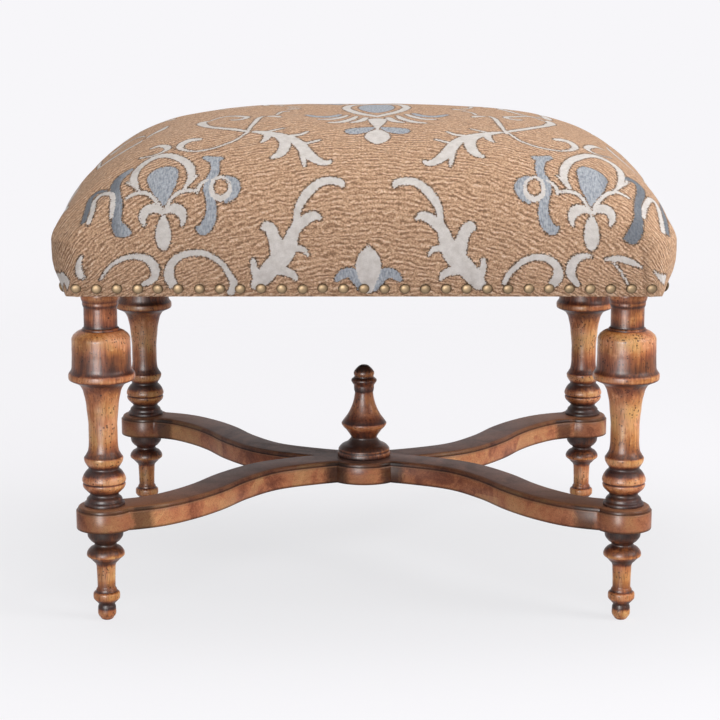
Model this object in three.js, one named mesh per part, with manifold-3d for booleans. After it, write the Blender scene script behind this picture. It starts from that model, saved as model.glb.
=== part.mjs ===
import * as THREE from "three";
import { mergeVertices } from "three/addons/utils/BufferGeometryUtils.js";
import Module from "manifold-3d";

const wasm = await Module();
wasm.setup();

// Footstool on four turned legs, tied by a crossed serpentine stretcher with a finial.
// Millimetres, +Z up. The origin is on the floor under the middle of the seat, and the
// front of the stool faces -Y.

// Clearance left between pieces that fit into or lie on each other, and the length by
// which a cut runs past the faces it opens.
const fit = 0.3;
const overrun = 6;

// Seat: its size at the lower edge, and how far the padded walls swell out beyond it.
const seat = {
  width: 610,
  depth: 508,
  underside: 352.5,
  wallHeight: 77.5,
  domeHeight: 94,
  bulge: 14.5,
  edgeCorner: 5,
  bulgeCorner: 28,
};

// The padded wall from the lower edge upwards: height, swell and corner growth.
const wallShares = [
  [0, 0, 0],
  [0.2, 0.45, 0.45],
  [0.33, 0.9, 0.8],
  [0.5, 1, 1],
  [0.8, 0.95, 1],
  [1, 0.42, 1],
];

// The dome over the walls: its rings, as shares of its plan from the wall inwards, and the
// powers that set how square its plan and its shoulder are.
const domeRingShares = [0.97, 0.9, 0.77, 0.55, 0.28];
const domePlanPower = 2.9;
const domeShoulderPower = 0.5;
const domeRimPower = 8;

// Layers of the upholstery.
const cover = { thickness: 2, hem: 30 };
const wadding = { thickness: 8 };
const hessian = { thickness: 0.8, margin: 3 };
const dustCover = { thickness: 0.8, margin: 20 };
const webbing = { width: 50, thickness: 1.6, rise: 14, margin: 5, pitch: 112, alongCount: 3, acrossCount: 4 };

// Seat frame: rails tenoned into the square heads of the legs.
const rail = { height: 60, thickness: 22, tenonLength: 16, tenonThickness: 9, tenonHeight: 44 };
const brace = { width: 22, height: 40, postGap: 0.5 };
const screw = { headRadius: 4, headHeight: 2.6, shankRadius: 2.2, bite: 16, tip: 4, seat: 8 };

// Legs: the axis stands in from the seat's lower edge, and the turned part runs from the
// stretcher to the seat.
const leg = { inset: 32, post: 45, flangeRadius: 35, tenonRadius: 8, tenonChamfer: 1.5 };
const foot = { discRadius: 20, socketDepth: 28 };
const stretcher = {
  underside: 100.5,
  thickness: 25,
  armWidth: 43,
  padRadius: 30,
  bossRadius: 44,
  mouldHeight: 4.6,
  mouldInset: 4.4,
};
const finial = { height: 106, radius: 30.4, tenonRadius: 8 };
const nail = { radius: 5.5, height: 3.4, pitch: 20.9, up: 8.7, cornerInset: 12, webHeight: 2.4, webThickness: 0.8 };

// Turned profiles from the bottom up: height, radius, and how far the stretch up to that
// point bows out (a bead) or in (a cove), as a share of its length.
const legTurningShares = [
  [0, 0.655, 0],
  [0.012, 0.655, 0],
  [0.037, 0.54, 0],
  [0.055, 0.451, 0],
  [0.17, 0.48, 0.28],
  [0.187, 0.48, 0],
  [0.256, 0.474, 0.25],
  [0.271, 0.463, 0],
  [0.383, 0.431, 0],
  [0.526, 0.549, -0.04],
  [0.564, 0.637, 0],
  [0.588, 0.857, 0],
  [0.603, 1, 0],
  [0.626, 0.983, 0],
  [0.652, 0.886, 0],
  [0.766, 0.869, 0],
  [0.813, 0.64, 0.15],
  [0.836, 0.514, 0],
  [0.938, 0.497, 0],
  [0.945, 0.554, 0],
  [0.989, 0.56, 0],
  [1, 0.531, 0],
];
const footTurningShares = [
  [0, 0.23, 0],
  [0.035, 0.43, 0],
  [0.105, 0.49, 0],
  [0.134, 0.445, 0],
  [0.18, 0.46, 0],
  [0.214, 0.6, 0],
  [0.313, 0.6, 0.2],
  [0.355, 0.48, 0],
  [0.6, 0.555, 0],
  [0.63, 0.63, 0],
  [0.657, 0.85, 0],
  [0.692, 0.97, 0],
  [0.761, 0.97, 0],
  [0.826, 0.585, 0],
  [0.86, 0.68, 0],
  [0.9, 0.88, 0],
  [0.935, 0.94, 0],
  [1, 0.98, 0],
];
const finialTurningShares = [
  [0, 0.985, 0],
  [0.045, 0.99, 0],
  [0.08, 0.965, 0],
  [0.129, 0.775, 0],
  [0.177, 0.545, 0],
  [0.2, 0.48, 0],
  [0.25, 0.57, 0],
  [0.345, 0.815, 0],
  [0.375, 0.815, 0],
  [0.41, 0.735, 0],
  [0.472, 0.585, 0],
  [0.545, 0.467, 0],
  [0.618, 0.388, 0],
  [0.704, 0.342, 0],
  [0.777, 0.372, 0],
  [0.82, 0.474, 0],
  [0.845, 0.46, 0],
  [0.868, 0.355, 0],
  [0.924, 0.37, 0],
  [0.97, 0.27, 0],
  [1, 0, 0.12],
];

// Middle line of one stretcher arm, from the crossing out to the leg, as shares of the
// leg's place from the middle of the stool.
const armShares = [
  [0.2, 0.08],
  [0.4, 0.213],
  [0.535, 0.419],
  [0.63, 0.637],
  [0.72, 0.79],
  [0.83, 0.915],
  [1, 1],
];

// Sections of the moulding along the stretcher's top edge (inset and height) and of a
// nail's domed head (radius and height), from the bottom up.
const mouldShares = [
  [0, 0],
  [0.3, 0.65],
  [1, 1],
];
const nailHeadShares = [
  [0, 0],
  [1, 0],
  [0.72, 0.62],
  [0, 1],
];

// Points closer than this share of the clearance are one point.
const weldShare = 0.01;

// How finely round stretches are cut, and where a side of the seat's plan is divided.
const turningSides = 12;
const beadSteps = 3;
const discSides = 24;
const armSteps = 22;
const cornerSteps = 3;
const screwSides = 8;
const nailSides = 5;
const planShares = [0.25, 0.5, 0.75];

// Places worked out from the sizes above.
const frameFloor = seat.underside + cover.thickness + fit;
const frameTop = frameFloor + rail.height;
const legX = seat.width / 2 - leg.inset;
const legY = seat.depth / 2 - leg.inset;
const frameHalfWidth = legX + leg.post / 2;
const frameHalfDepth = legY + leg.post / 2;
const stretcherTop = stretcher.underside + stretcher.thickness;
const webFloor = frameTop + fit;
const hessianFloor = webFloor + 2 * (webbing.thickness + fit);
const foamFloor = hessianFloor + hessian.thickness + fit;
const corners = [
  ["front_left", -1, -1],
  ["front_right", 1, -1],
  ["back_left", -1, 1],
  ["back_right", 1, 1],
];

const walnut = new THREE.MeshStandardMaterial({ color: 0x7a4526, roughness: 0.42, metalness: 0 });
const darkWalnut = new THREE.MeshStandardMaterial({ color: 0x54352b, roughness: 0.45, metalness: 0 });
const beech = new THREE.MeshStandardMaterial({ color: 0xc9a677, roughness: 0.7, metalness: 0 });
const tapestry = new THREE.MeshStandardMaterial({ color: 0xa88a66, roughness: 0.9, metalness: 0 });
const jute = new THREE.MeshStandardMaterial({ color: 0xa5895c, roughness: 0.95, metalness: 0 });
const foam = new THREE.MeshStandardMaterial({ color: 0xe8d9a0, roughness: 0.95, metalness: 0 });
const fleece = new THREE.MeshStandardMaterial({ color: 0xf0eee8, roughness: 1, metalness: 0 });
const cambric = new THREE.MeshStandardMaterial({ color: 0x2a2826, roughness: 0.95, metalness: 0 });
const brass = new THREE.MeshStandardMaterial({ color: 0x8a6a3c, roughness: 0.35, metalness: 1 });
const steel = new THREE.MeshStandardMaterial({ color: 0xb9b6ae, roughness: 0.35, metalness: 1 });

const stool = new THREE.Group();

// Turns a closed geometry into a solid that can be joined and cut.
function solid(geometry) {
  const bare = geometry.clone();
  bare.deleteAttribute("normal");
  bare.deleteAttribute("uv");
  const merged = mergeVertices(bare, fit * weldShare);
  const index = merged.index.array;
  const triangles = [];
  for (let i = 0; i < index.length; i += 3) {
    const [a, b, c] = [index[i], index[i + 1], index[i + 2]];
    if (a !== b && b !== c && c !== a) triangles.push(a, b, c);
  }
  const vertProperties = new Float32Array(merged.attributes.position.array);
  const triVerts = new Uint32Array(triangles);
  return new wasm.Manifold(new wasm.Mesh({ numProp: 3, vertProperties, triVerts }));
}

// Turns a solid back into a geometry.
function shaped(body) {
  const mesh = body.getMesh();
  const geometry = new THREE.BufferGeometry();
  geometry.setAttribute("position", new THREE.BufferAttribute(mesh.vertProperties, 3));
  geometry.setIndex(new THREE.BufferAttribute(mesh.triVerts, 1));
  geometry.computeVertexNormals();
  return geometry;
}

function place(name, geometry, material, x = 0, y = 0, z = 0) {
  const mesh = new THREE.Mesh(geometry, material);
  mesh.name = name;
  mesh.position.set(x, y, z);
  stool.add(mesh);
  return mesh;
}

// A block given by its lowest and highest corners.
function block(low, high) {
  const [width, depth, height] = [high[0] - low[0], high[1] - low[1], high[2] - low[2]];
  const geometry = new THREE.BoxGeometry(width, depth, height);
  return geometry.translate(low[0] + width / 2, low[1] + depth / 2, low[2] + height / 2);
}

// An upright bar with a round section, on a vertical axis through x, y.
function bar(radius, low, high, x = 0, y = 0) {
  const geometry = new THREE.CylinderGeometry(radius, radius, high - low, turningSides);
  return geometry.rotateX(Math.PI / 2).translate(x, y, (low + high) / 2);
}

// Points of a turned profile, with its beads and coves as smooth curves.
function turning(shares, height, radius) {
  const points = [];
  let last = null;
  for (const [heightShare, radiusShare, bowShare] of shares) {
    const here = new THREE.Vector2(radiusShare * radius, heightShare * height);
    if (last && bowShare !== 0) {
      const chord = here.clone().sub(last);
      const outward = new THREE.Vector2(chord.y, -chord.x).multiplyScalar(2 * bowShare);
      const pull = here.clone().add(last).multiplyScalar(0.5).add(outward);
      const curve = new THREE.QuadraticBezierCurve(last, pull, here);
      points.push(...curve.getPoints(beadSteps).slice(1));
    } else {
      points.push(here);
    }
    last = here;
  }
  return points;
}

// A turned piece on an upright axis.
function lathe(points, sides = turningSides) {
  return new THREE.LatheGeometry(points, sides).rotateX(Math.PI / 2);
}

// A closed skin over rings of equal count, from the lowest to the highest, with flat
// ends or a crown point in the middle of the last ring.
function skin(rings, crown = null) {
  const count = rings[0].length;
  const positions = rings.flat().flatMap((point) => [point.x, point.y, point.z]);
  const index = [];
  for (let level = 0; level + 1 < rings.length; level += 1) {
    for (let i = 0; i < count; i += 1) {
      const a = level * count + i;
      const b = level * count + ((i + 1) % count);
      index.push(a, b, b + count, a, b + count, a + count);
    }
  }
  const flat = (ring) => ring.map((point) => new THREE.Vector2(point.x, point.y));
  for (const [a, b, c] of THREE.ShapeUtils.triangulateShape(flat(rings[0]), [])) index.push(c, b, a);
  const top = (rings.length - 1) * count;
  if (crown) {
    positions.push(crown.x, crown.y, crown.z);
    for (let i = 0; i < count; i += 1) index.push(top + i, top + ((i + 1) % count), rings.length * count);
  } else {
    for (const [a, b, c] of THREE.ShapeUtils.triangulateShape(flat(rings[0]), [])) {
      index.push(top + a, top + b, top + c);
    }
  }
  const geometry = new THREE.BufferGeometry();
  geometry.setAttribute("position", new THREE.Float32BufferAttribute(positions, 3));
  geometry.setIndex(index);
  geometry.computeVertexNormals();
  return geometry;
}

// Plan of the seat: a rectangle with round corners, anticlockwise.
function seatPlan(halfWidth, halfDepth, corner) {
  const points = [];
  const signs = [[1, -1], [1, 1], [-1, 1], [-1, -1]];
  for (let side = 0; side < signs.length; side += 1) {
    const [signX, signY] = signs[side];
    const centre = new THREE.Vector2(signX * (halfWidth - corner), signY * (halfDepth - corner));
    for (let step = 0; step <= cornerSteps; step += 1) {
      const angle = (side - 1 + step / cornerSteps) * (Math.PI / 2);
      points.push(centre.clone().add(new THREE.Vector2(Math.cos(angle), Math.sin(angle)).multiplyScalar(corner)));
    }
    const [nextX, nextY] = signs[(side + 1) % signs.length];
    const next = new THREE.Vector2(nextX * (halfWidth - corner), nextY * (halfDepth - corner));
    const outward = new THREE.Vector2(Math.cos(side * Math.PI / 2), Math.sin(side * Math.PI / 2));
    for (const share of planShares) {
      points.push(centre.clone().lerp(next, share).addScaledVector(outward, corner));
    }
  }
  return points;
}

// Swell and corner of the padded wall at a height above the lower edge.
function wallAt(height) {
  const share = height / seat.wallHeight;
  const upper = wallShares.findIndex((row) => row[0] >= share);
  const [low, high] = [wallShares[Math.max(upper - 1, 0)], wallShares[upper]];
  const along = high[0] > low[0] ? (share - low[0]) / (high[0] - low[0]) : 0;
  const growth = THREE.MathUtils.lerp(low[2], high[2], along);
  return {
    swell: THREE.MathUtils.lerp(low[1], high[1], along) * seat.bulge,
    corner: THREE.MathUtils.lerp(seat.edgeCorner, seat.bulgeCorner, growth),
  };
}

// The seat's padded form, drawn in by an inset all round and cut off level at a floor:
// swelling walls under a pillow-shaped dome.
function seatForm(inset, floor) {
  const start = floor - seat.underside;
  const heights = wallShares.map((row) => row[0] * seat.wallHeight).filter((height) => height > start);
  const ring = (height) => {
    const { swell, corner } = wallAt(height);
    const reach = swell - inset;
    const plan = seatPlan(seat.width / 2 + reach, seat.depth / 2 + reach, Math.max(corner - inset, fit));
    return plan.map((point) => new THREE.Vector3(point.x, point.y, seat.underside + height));
  };
  const rings = [start, ...heights].map(ring);
  const rim = rings[rings.length - 1];
  const reach = wallAt(seat.wallHeight).swell - inset;
  const rise = (point) => {
    const across = 1 - Math.min(Math.abs(point.x) / (seat.width / 2 + reach), 1) ** domePlanPower;
    const along = 1 - Math.min(Math.abs(point.y) / (seat.depth / 2 + reach), 1) ** domePlanPower;
    return (seat.domeHeight - inset) * (across * along) ** domeShoulderPower;
  };
  for (const share of domeRingShares) {
    rings.push(rim.map((point) => {
      const inner = point.clone().multiply(new THREE.Vector3(share, share, 1));
      return inner.setZ(point.z + rise(inner) - rise(point) * share ** domeRimPower);
    }));
  }
  const crown = new THREE.Vector3(0, 0, rim[0].z + seat.domeHeight - inset);
  return skin(rings, crown);
}

// Legs and feet.
const tenonLength = stretcher.thickness + foot.socketDepth;

function legGeometry(signX, signY) {
  const height = seat.underside - stretcherTop - fit;
  const turned = turning(legTurningShares, height, leg.flangeRadius);
  const neck = turned[turned.length - 1].x;
  const bottom = fit - tenonLength;
  const points = [
    new THREE.Vector2(0, bottom),
    new THREE.Vector2(leg.tenonRadius - leg.tenonChamfer, bottom),
    new THREE.Vector2(leg.tenonRadius, bottom + leg.tenonChamfer),
    new THREE.Vector2(leg.tenonRadius, 0),
    ...turned,
    new THREE.Vector2(neck, frameFloor + overrun - stretcherTop - fit),
    new THREE.Vector2(0, frameFloor + overrun - stretcherTop - fit),
  ];
  const base = stretcherTop + fit;
  const half = leg.post / 2;
  let body = solid(lathe(points)).add(solid(block([-half, -half, frameFloor - base], [half, half, frameTop - base])));
  const mortiseLow = frameFloor + (rail.height - rail.tenonHeight) / 2 - fit - base;
  const mortiseHigh = mortiseLow + rail.tenonHeight + 2 * fit;
  const reach = half - rail.tenonLength - fit;
  const middle = half - rail.thickness / 2;
  const [near, far] = [middle - rail.tenonThickness / 2 - fit, middle + rail.tenonThickness / 2 + fit];
  const open = half + overrun;
  const span = (sign, low, high) => [Math.min(sign * low, sign * high), Math.max(sign * low, sign * high)];
  for (const [x, y] of [
    [span(-signX, reach, open), span(signY, near, far)],
    [span(signX, near, far), span(-signY, reach, open)],
  ]) {
    body = body.subtract(solid(block([x[0], y[0], mortiseLow], [x[1], y[1], mortiseHigh])));
  }
  return shaped(body);
}

function footGeometry() {
  const height = stretcher.underside - fit;
  const turned = turning(footTurningShares, height, foot.discRadius);
  const socket = leg.tenonRadius + fit;
  const points = [
    new THREE.Vector2(0, 0),
    ...turned,
    new THREE.Vector2(socket, height),
    new THREE.Vector2(socket, height - foot.socketDepth),
    new THREE.Vector2(0, height - foot.socketDepth),
  ];
  return lathe(points);
}

for (const [corner, signX, signY] of corners) {
  place(`leg_${corner}`, legGeometry(signX, signY), walnut, signX * legX, signY * legY, stretcherTop + fit);
  place(`foot_${corner}`, footGeometry(), walnut, signX * legX, signY * legY, 0);
}

// Stretcher: two S-shaped members, each from a leg's pad through the middle to the pad
// across the stool, halved into each other where they cross.
const padPlaces = [[-legX, -legY], [legX, legY]];

function armRing(middle, halfWidth, height, mirror) {
  const points = middle.getSpacedPoints(armSteps);
  const sides = [[], []];
  points.forEach((point, i) => {
    const tangent = middle.getTangentAt(i / armSteps);
    for (const [side, sign] of [[0, 1], [1, -1]]) {
      const x = point.x - sign * tangent.y * halfWidth;
      const y = point.y + sign * tangent.x * halfWidth;
      sides[side].push(new THREE.Vector3(mirror * x, y, height));
    }
  });
  const ring = [...sides[1], ...sides[0].reverse()];
  return mirror > 0 ? ring : ring.reverse();
}

function discRing(radius, x, y, height) {
  return Array.from({ length: discSides }, (_, i) => {
    const angle = (i / discSides) * 2 * Math.PI;
    return new THREE.Vector3(x + radius * Math.cos(angle), y + radius * Math.sin(angle), height);
  });
}

// One member's full outline as a slab. Each level gives its inset from the side faces and
// its height above the underside.
function memberSlab(levels, mirror) {
  const outward = armShares.map(([x, y]) => new THREE.Vector3(x * legX, y * legY, 0));
  const inward = outward.map((point) => point.clone().negate()).reverse();
  const middle = new THREE.CatmullRomCurve3([...inward, new THREE.Vector3(), ...outward]);
  const slab = (ringAt) => solid(skin(levels.map(([inset, height]) => ringAt(inset, height))));
  let body = slab((inset, height) => armRing(middle, stretcher.armWidth / 2 - inset, height, mirror));
  body = body.add(slab((inset, height) => discRing(stretcher.bossRadius - inset, 0, 0, height)));
  for (const [x, y] of padPlaces) {
    body = body.add(slab((inset, height) => discRing(stretcher.padRadius - inset, mirror * x, y, height)));
  }
  return body;
}

const mouldFoot = stretcher.thickness - stretcher.mouldHeight;
const mouldedLevels = [
  [0, 0],
  ...mouldShares.map(([inset, height]) => [
    inset * stretcher.mouldInset,
    mouldFoot + height * stretcher.mouldHeight,
  ]),
];
const plainLevels = [[0, -overrun], [0, stretcher.thickness + overrun]];
const lapPlane = stretcher.thickness / 2;
const upperLap = [[-fit, lapPlane - fit / 2], [-fit, stretcher.thickness + overrun]];
const lowerLap = [[-fit, -overrun], [-fit, lapPlane + fit / 2]];

function boredMember(body, mirror) {
  let bored = body.subtract(solid(bar(finial.tenonRadius + fit, -overrun, stretcher.thickness + overrun)));
  for (const [x, y] of padPlaces) {
    const bore = bar(leg.tenonRadius + fit, -overrun, stretcher.thickness + overrun, mirror * x, y);
    bored = bored.subtract(solid(bore));
  }
  return shaped(bored);
}

const lowerMember = memberSlab(mouldedLevels, 1);
const upperMember = memberSlab(mouldedLevels, -1);
const lowerHalved = lowerMember.subtract(memberSlab(upperLap, -1));
const upperFull = upperMember.add(lowerMember.intersect(memberSlab(plainLevels, -1)));
const upperHalved = upperFull.subtract(memberSlab(lowerLap, 1));
place("stretcher_lower", boredMember(lowerHalved, 1), darkWalnut, 0, 0, stretcher.underside);
place("stretcher_upper", boredMember(upperHalved, -1), darkWalnut, 0, 0, stretcher.underside);

// Finial, with a tenon that pins the crossing.
const finialPoints = [
  new THREE.Vector2(0, fit - stretcher.thickness),
  new THREE.Vector2(finial.tenonRadius, fit - stretcher.thickness),
  new THREE.Vector2(finial.tenonRadius, 0),
  ...turning(finialTurningShares, finial.height, finial.radius),
];
place("finial", lathe(finialPoints), walnut, 0, 0, stretcherTop + fit);

// Rails. Each is drawn along X and turned to its side of the frame.
const railMiddle = rail.height / 2;
const braceNear = 2 * (leg.post - rail.thickness) + brace.postGap * Math.SQRT2;
const braceFar = braceNear + brace.width * Math.SQRT2;
const screwAlong = (braceNear + braceFar) / 2;

function railGeometry(halfLength) {
  const shoulder = halfLength - fit;
  const tip = shoulder + rail.tenonLength;
  const [halfThick, halfTenon] = [rail.thickness / 2, rail.tenonThickness / 2];
  const halfTall = rail.tenonHeight / 2;
  let body = solid(block([-shoulder, -halfThick, 0], [shoulder, halfThick, rail.height]));
  const tenons = block([-tip, -halfTenon, railMiddle - halfTall], [tip, halfTenon, railMiddle + halfTall]);
  body = body.add(solid(tenons));
  for (const side of [-1, 1]) {
    const along = side * (halfLength + leg.post - rail.thickness - screwAlong);
    const pilot = new THREE.CylinderGeometry(
      screw.shankRadius + fit, screw.shankRadius + fit, screw.bite + fit + overrun, screwSides);
    pilot.translate(along, halfThick - screw.bite - fit + (screw.bite + fit + overrun) / 2, railMiddle);
    body = body.subtract(solid(pilot));
  }
  return shaped(body);
}

const rails = [
  ["rail_front", legX - leg.post / 2, 0, -1, 0],
  ["rail_back", legX - leg.post / 2, 0, 1, Math.PI],
  ["rail_left", legY - leg.post / 2, -1, 0, -Math.PI / 2],
  ["rail_right", legY - leg.post / 2, 1, 0, Math.PI / 2],
];
for (const [name, halfLength, sideX, sideY, turn] of rails) {
  const x = sideX * (frameHalfWidth - rail.thickness / 2);
  const y = sideY * (frameHalfDepth - rail.thickness / 2);
  place(name, railGeometry(halfLength), beech, x, y, frameFloor).rotation.z = turn;
}

// Corner blocks across the frame's corners, each held by two screws into the rails.
const innerX = frameHalfWidth - rail.thickness;
const innerY = frameHalfDepth - rail.thickness;
const braceFloor = frameFloor + (rail.height - brace.height) / 2;
const screwHeight = frameFloor + railMiddle;

function screwGeometry() {
  const end = screw.seat + screw.bite;
  const points = [
    new THREE.Vector2(0, -end),
    new THREE.Vector2(screw.shankRadius, screw.tip - end),
    new THREE.Vector2(screw.shankRadius, 0),
    new THREE.Vector2(screw.headRadius, 0),
    new THREE.Vector2(screw.headRadius, screw.headHeight),
    new THREE.Vector2(0, screw.headHeight),
  ];
  return lathe(points, screwSides);
}

// Bore for one screw with the well for its head, in the screw's own frame.
function screwBore() {
  const end = screw.seat + screw.bite + overrun;
  const well = screw.headRadius + fit;
  const points = [
    new THREE.Vector2(0, -end),
    new THREE.Vector2(screw.shankRadius + fit, -end),
    new THREE.Vector2(screw.shankRadius + fit, -fit),
    new THREE.Vector2(well, -fit),
    new THREE.Vector2(well, brace.width),
    new THREE.Vector2(0, brace.width),
  ];
  return lathe(points, screwSides);
}

for (const [corner, signX, signY] of corners) {
  const at = (x, y) => new THREE.Vector2(signX * (innerX - x), signY * (innerY - y));
  const outline = [
    at(fit, braceNear - fit),
    at(fit, braceFar - fit),
    at(braceFar - fit, fit),
    at(braceNear - fit, fit),
  ];
  const options = { depth: brace.height, bevelEnabled: false };
  const blank = new THREE.ExtrudeGeometry(new THREE.Shape(outline), options).translate(0, 0, braceFloor);
  let body = solid(blank);
  const screwPlaces = [
    [at(screw.seat, screwAlong), new THREE.Vector3(-signX, 0, 0)],
    [at(screwAlong, screw.seat), new THREE.Vector3(0, -signY, 0)],
  ];
  screwPlaces.forEach(([spot, axis], i) => {
    const turn = new THREE.Quaternion().setFromUnitVectors(new THREE.Vector3(0, 0, 1), axis);
    const bore = screwBore().applyQuaternion(turn).translate(spot.x, spot.y, screwHeight);
    body = body.subtract(solid(bore));
    const piece = place(`screw_${corner}_${i + 1}`, screwGeometry(), steel, spot.x, spot.y, screwHeight);
    piece.quaternion.copy(turn);
  });
  place(`corner_block_${corner}`, shaped(body), beech);
}

// Webbing: straps along and across the frame, each over one and under the next.
function strapPlaces(count) {
  return Array.from({ length: count }, (_, i) => (i - (count - 1) / 2) * webbing.pitch);
}

function strapGeometry(halfLength, crossings, isOver) {
  const lift = webbing.thickness + fit;
  const flat = webbing.width / 2 + lift;
  const line = [new THREE.Vector2(-halfLength, 0)];
  crossings.forEach((place, i) => {
    if (!isOver(i)) return;
    line.push(
      new THREE.Vector2(place - flat - webbing.rise, 0),
      new THREE.Vector2(place - flat, lift),
      new THREE.Vector2(place + flat, lift),
      new THREE.Vector2(place + flat + webbing.rise, 0),
    );
  });
  line.push(new THREE.Vector2(halfLength, 0));
  const upper = line.map((point) => new THREE.Vector2(point.x, point.y + webbing.thickness)).reverse();
  const options = { depth: webbing.width, bevelEnabled: false };
  const strap = new THREE.ExtrudeGeometry(new THREE.Shape([...line, ...upper]), options);
  return strap.translate(0, 0, -webbing.width / 2).rotateX(Math.PI / 2);
}

const alongPlaces = strapPlaces(webbing.alongCount);
const acrossPlaces = strapPlaces(webbing.acrossCount);
alongPlaces.forEach((y, row) => {
  const strap = strapGeometry(frameHalfWidth - webbing.margin, acrossPlaces, (i) => (i + row) % 2 === 0);
  place(`webbing_along_${row + 1}`, strap, jute, 0, y, webFloor);
});
acrossPlaces.forEach((x, column) => {
  const strap = strapGeometry(frameHalfDepth - webbing.margin, alongPlaces, (i) => (i + column) % 2 === 1);
  place(`webbing_across_${column + 1}`, strap, jute, x, 0, webFloor).rotation.z = Math.PI / 2;
});

// Hessian over the webbing.
const hessianX = frameHalfWidth - hessian.margin;
const hessianY = frameHalfDepth - hessian.margin;
const hessianTop = hessianFloor + hessian.thickness;
place("hessian", block([-hessianX, -hessianY, hessianFloor], [hessianX, hessianY, hessianTop]), jute);

// Foam, wadding and cover, each a layer of the same padded form.
const waddingInset = cover.thickness + fit;
const foamInset = waddingInset + wadding.thickness + fit;
place("foam_core", seatForm(foamInset, foamFloor), foam);

function frameSpace(gap, low, high) {
  const [x, y] = [frameHalfWidth + gap, frameHalfDepth + gap];
  return solid(block([-x, -y, low], [x, y, high]));
}

const waddingForm = solid(seatForm(waddingInset, frameFloor));
const foamSpace = solid(seatForm(foamInset - fit, foamFloor - fit));
const frameCut = frameSpace(fit, frameFloor - overrun, foamFloor);
place("wadding", shaped(waddingForm.subtract(foamSpace).subtract(frameCut)), fleece);

const neckRadius = legTurningShares[legTurningShares.length - 1][1] * leg.flangeRadius;
const ringRadius = legTurningShares[legTurningShares.length - 2][1] * leg.flangeRadius;
const coverForm = solid(seatForm(0, seat.underside));
const coverSpace = solid(seatForm(cover.thickness, seat.underside + cover.thickness));
const hemHalfWidth = seat.width / 2 - cover.hem;
const hemHalfDepth = seat.depth / 2 - cover.hem;
const hemOpening = block(
  [-hemHalfWidth, -hemHalfDepth, seat.underside - overrun],
  [hemHalfWidth, hemHalfDepth, seat.underside + overrun],
);
let coverShell = coverForm.subtract(coverSpace).subtract(solid(hemOpening));

// Dust cover under the seat, tacked over the cover's hem.
const dustTop = seat.underside - fit;
const dustX = seat.width / 2 - dustCover.margin;
const dustY = seat.depth / 2 - dustCover.margin;
let dustSheet = solid(block([-dustX, -dustY, dustTop - dustCover.thickness], [dustX, dustY, dustTop]));
for (const [, signX, signY] of corners) {
  const hole = (radius) => bar(
    radius + fit, seat.underside - overrun, seat.underside + overrun, signX * legX, signY * legY);
  coverShell = coverShell.subtract(solid(hole(neckRadius)));
  dustSheet = dustSheet.subtract(solid(hole(ringRadius)));
}
place("seat_cover", shaped(coverShell), tapestry);
place("dust_cover", shaped(dustSheet), cambric);

// Nail rows along the cover's lower edge: domed heads on a thin strip, lying on the
// slope of the wall.
const bandHeight = wallShares[1][0] * seat.wallHeight;
const bandSwell = wallShares[1][1] * seat.bulge;
const bandTilt = Math.atan2(bandSwell, bandHeight);
const nailSwell = wallAt(nail.up).swell;

function nailRow(halfSpan) {
  const count = Math.round((2 * halfSpan) / nail.pitch) + 1;
  const strip = block([-halfSpan, -nail.webHeight / 2, 0], [halfSpan, nail.webHeight / 2, nail.webThickness]);
  let row = solid(strip);
  const dome = turning(nailHeadShares.map((row) => [row[1], row[0], 0]), nail.height, nail.radius);
  for (let i = 0; i < count; i += 1) {
    const along = THREE.MathUtils.lerp(-halfSpan, halfSpan, i / (count - 1));
    row = row.add(solid(lathe(dome, nailSides).translate(along, 0, 0)));
  }
  return shaped(row);
}

const nailRows = [
  ["nails_front", seat.width, seat.depth, 0],
  ["nails_right", seat.depth, seat.width, Math.PI / 2],
  ["nails_back", seat.width, seat.depth, Math.PI],
  ["nails_left", seat.depth, seat.width, -Math.PI / 2],
];
for (const [name, length, across, turn] of nailRows) {
  const row = nailRow(length / 2 - nail.cornerInset).rotateX(Math.PI / 2 + bandTilt);
  const reach = across / 2 + nailSwell + fit / Math.cos(bandTilt);
  row.translate(0, -reach, seat.underside + nail.up).rotateZ(turn);
  place(name, row, brass);
}

export default stool;
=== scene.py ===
import math
from functools import partial

import bpy
import numpy as np
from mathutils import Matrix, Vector
from mathutils.bvhtree import BVHTree
from mathutils.interpolate import poly_3d_calc


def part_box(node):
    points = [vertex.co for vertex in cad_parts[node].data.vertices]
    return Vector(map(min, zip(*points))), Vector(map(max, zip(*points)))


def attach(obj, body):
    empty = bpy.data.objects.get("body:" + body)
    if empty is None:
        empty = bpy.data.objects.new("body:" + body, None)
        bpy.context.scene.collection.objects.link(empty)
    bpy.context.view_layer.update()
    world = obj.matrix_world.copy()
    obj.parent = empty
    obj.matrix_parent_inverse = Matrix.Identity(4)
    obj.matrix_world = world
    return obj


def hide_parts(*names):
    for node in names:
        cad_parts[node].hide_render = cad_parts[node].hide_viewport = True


bl_info = {
    "name": "X frame stool looks",
    "version": (1, 0, 0),
    "blender": (4, 5, 0),
    "location": "3D View > Sidebar > Stool",
    "description": "Finished surfaces and upholstery of a padded footstool, built round its frame",
    "category": "Object",
}

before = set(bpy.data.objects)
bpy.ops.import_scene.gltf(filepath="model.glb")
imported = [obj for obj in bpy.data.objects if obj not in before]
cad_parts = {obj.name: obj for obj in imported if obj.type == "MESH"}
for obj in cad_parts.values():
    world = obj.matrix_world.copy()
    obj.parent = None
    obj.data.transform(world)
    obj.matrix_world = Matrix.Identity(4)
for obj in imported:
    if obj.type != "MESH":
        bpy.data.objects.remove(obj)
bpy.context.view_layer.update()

MM = 0.001

# The corners and the sides of the stool, each by its directions along X and Y.
CORNERS = {"front_left": (-1, -1), "front_right": (1, -1), "back_left": (-1, 1), "back_right": (1, 1)}
SIDES = {"front": (0, -1), "right": (1, 0), "back": (0, 1), "left": (-1, 0)}

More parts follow.
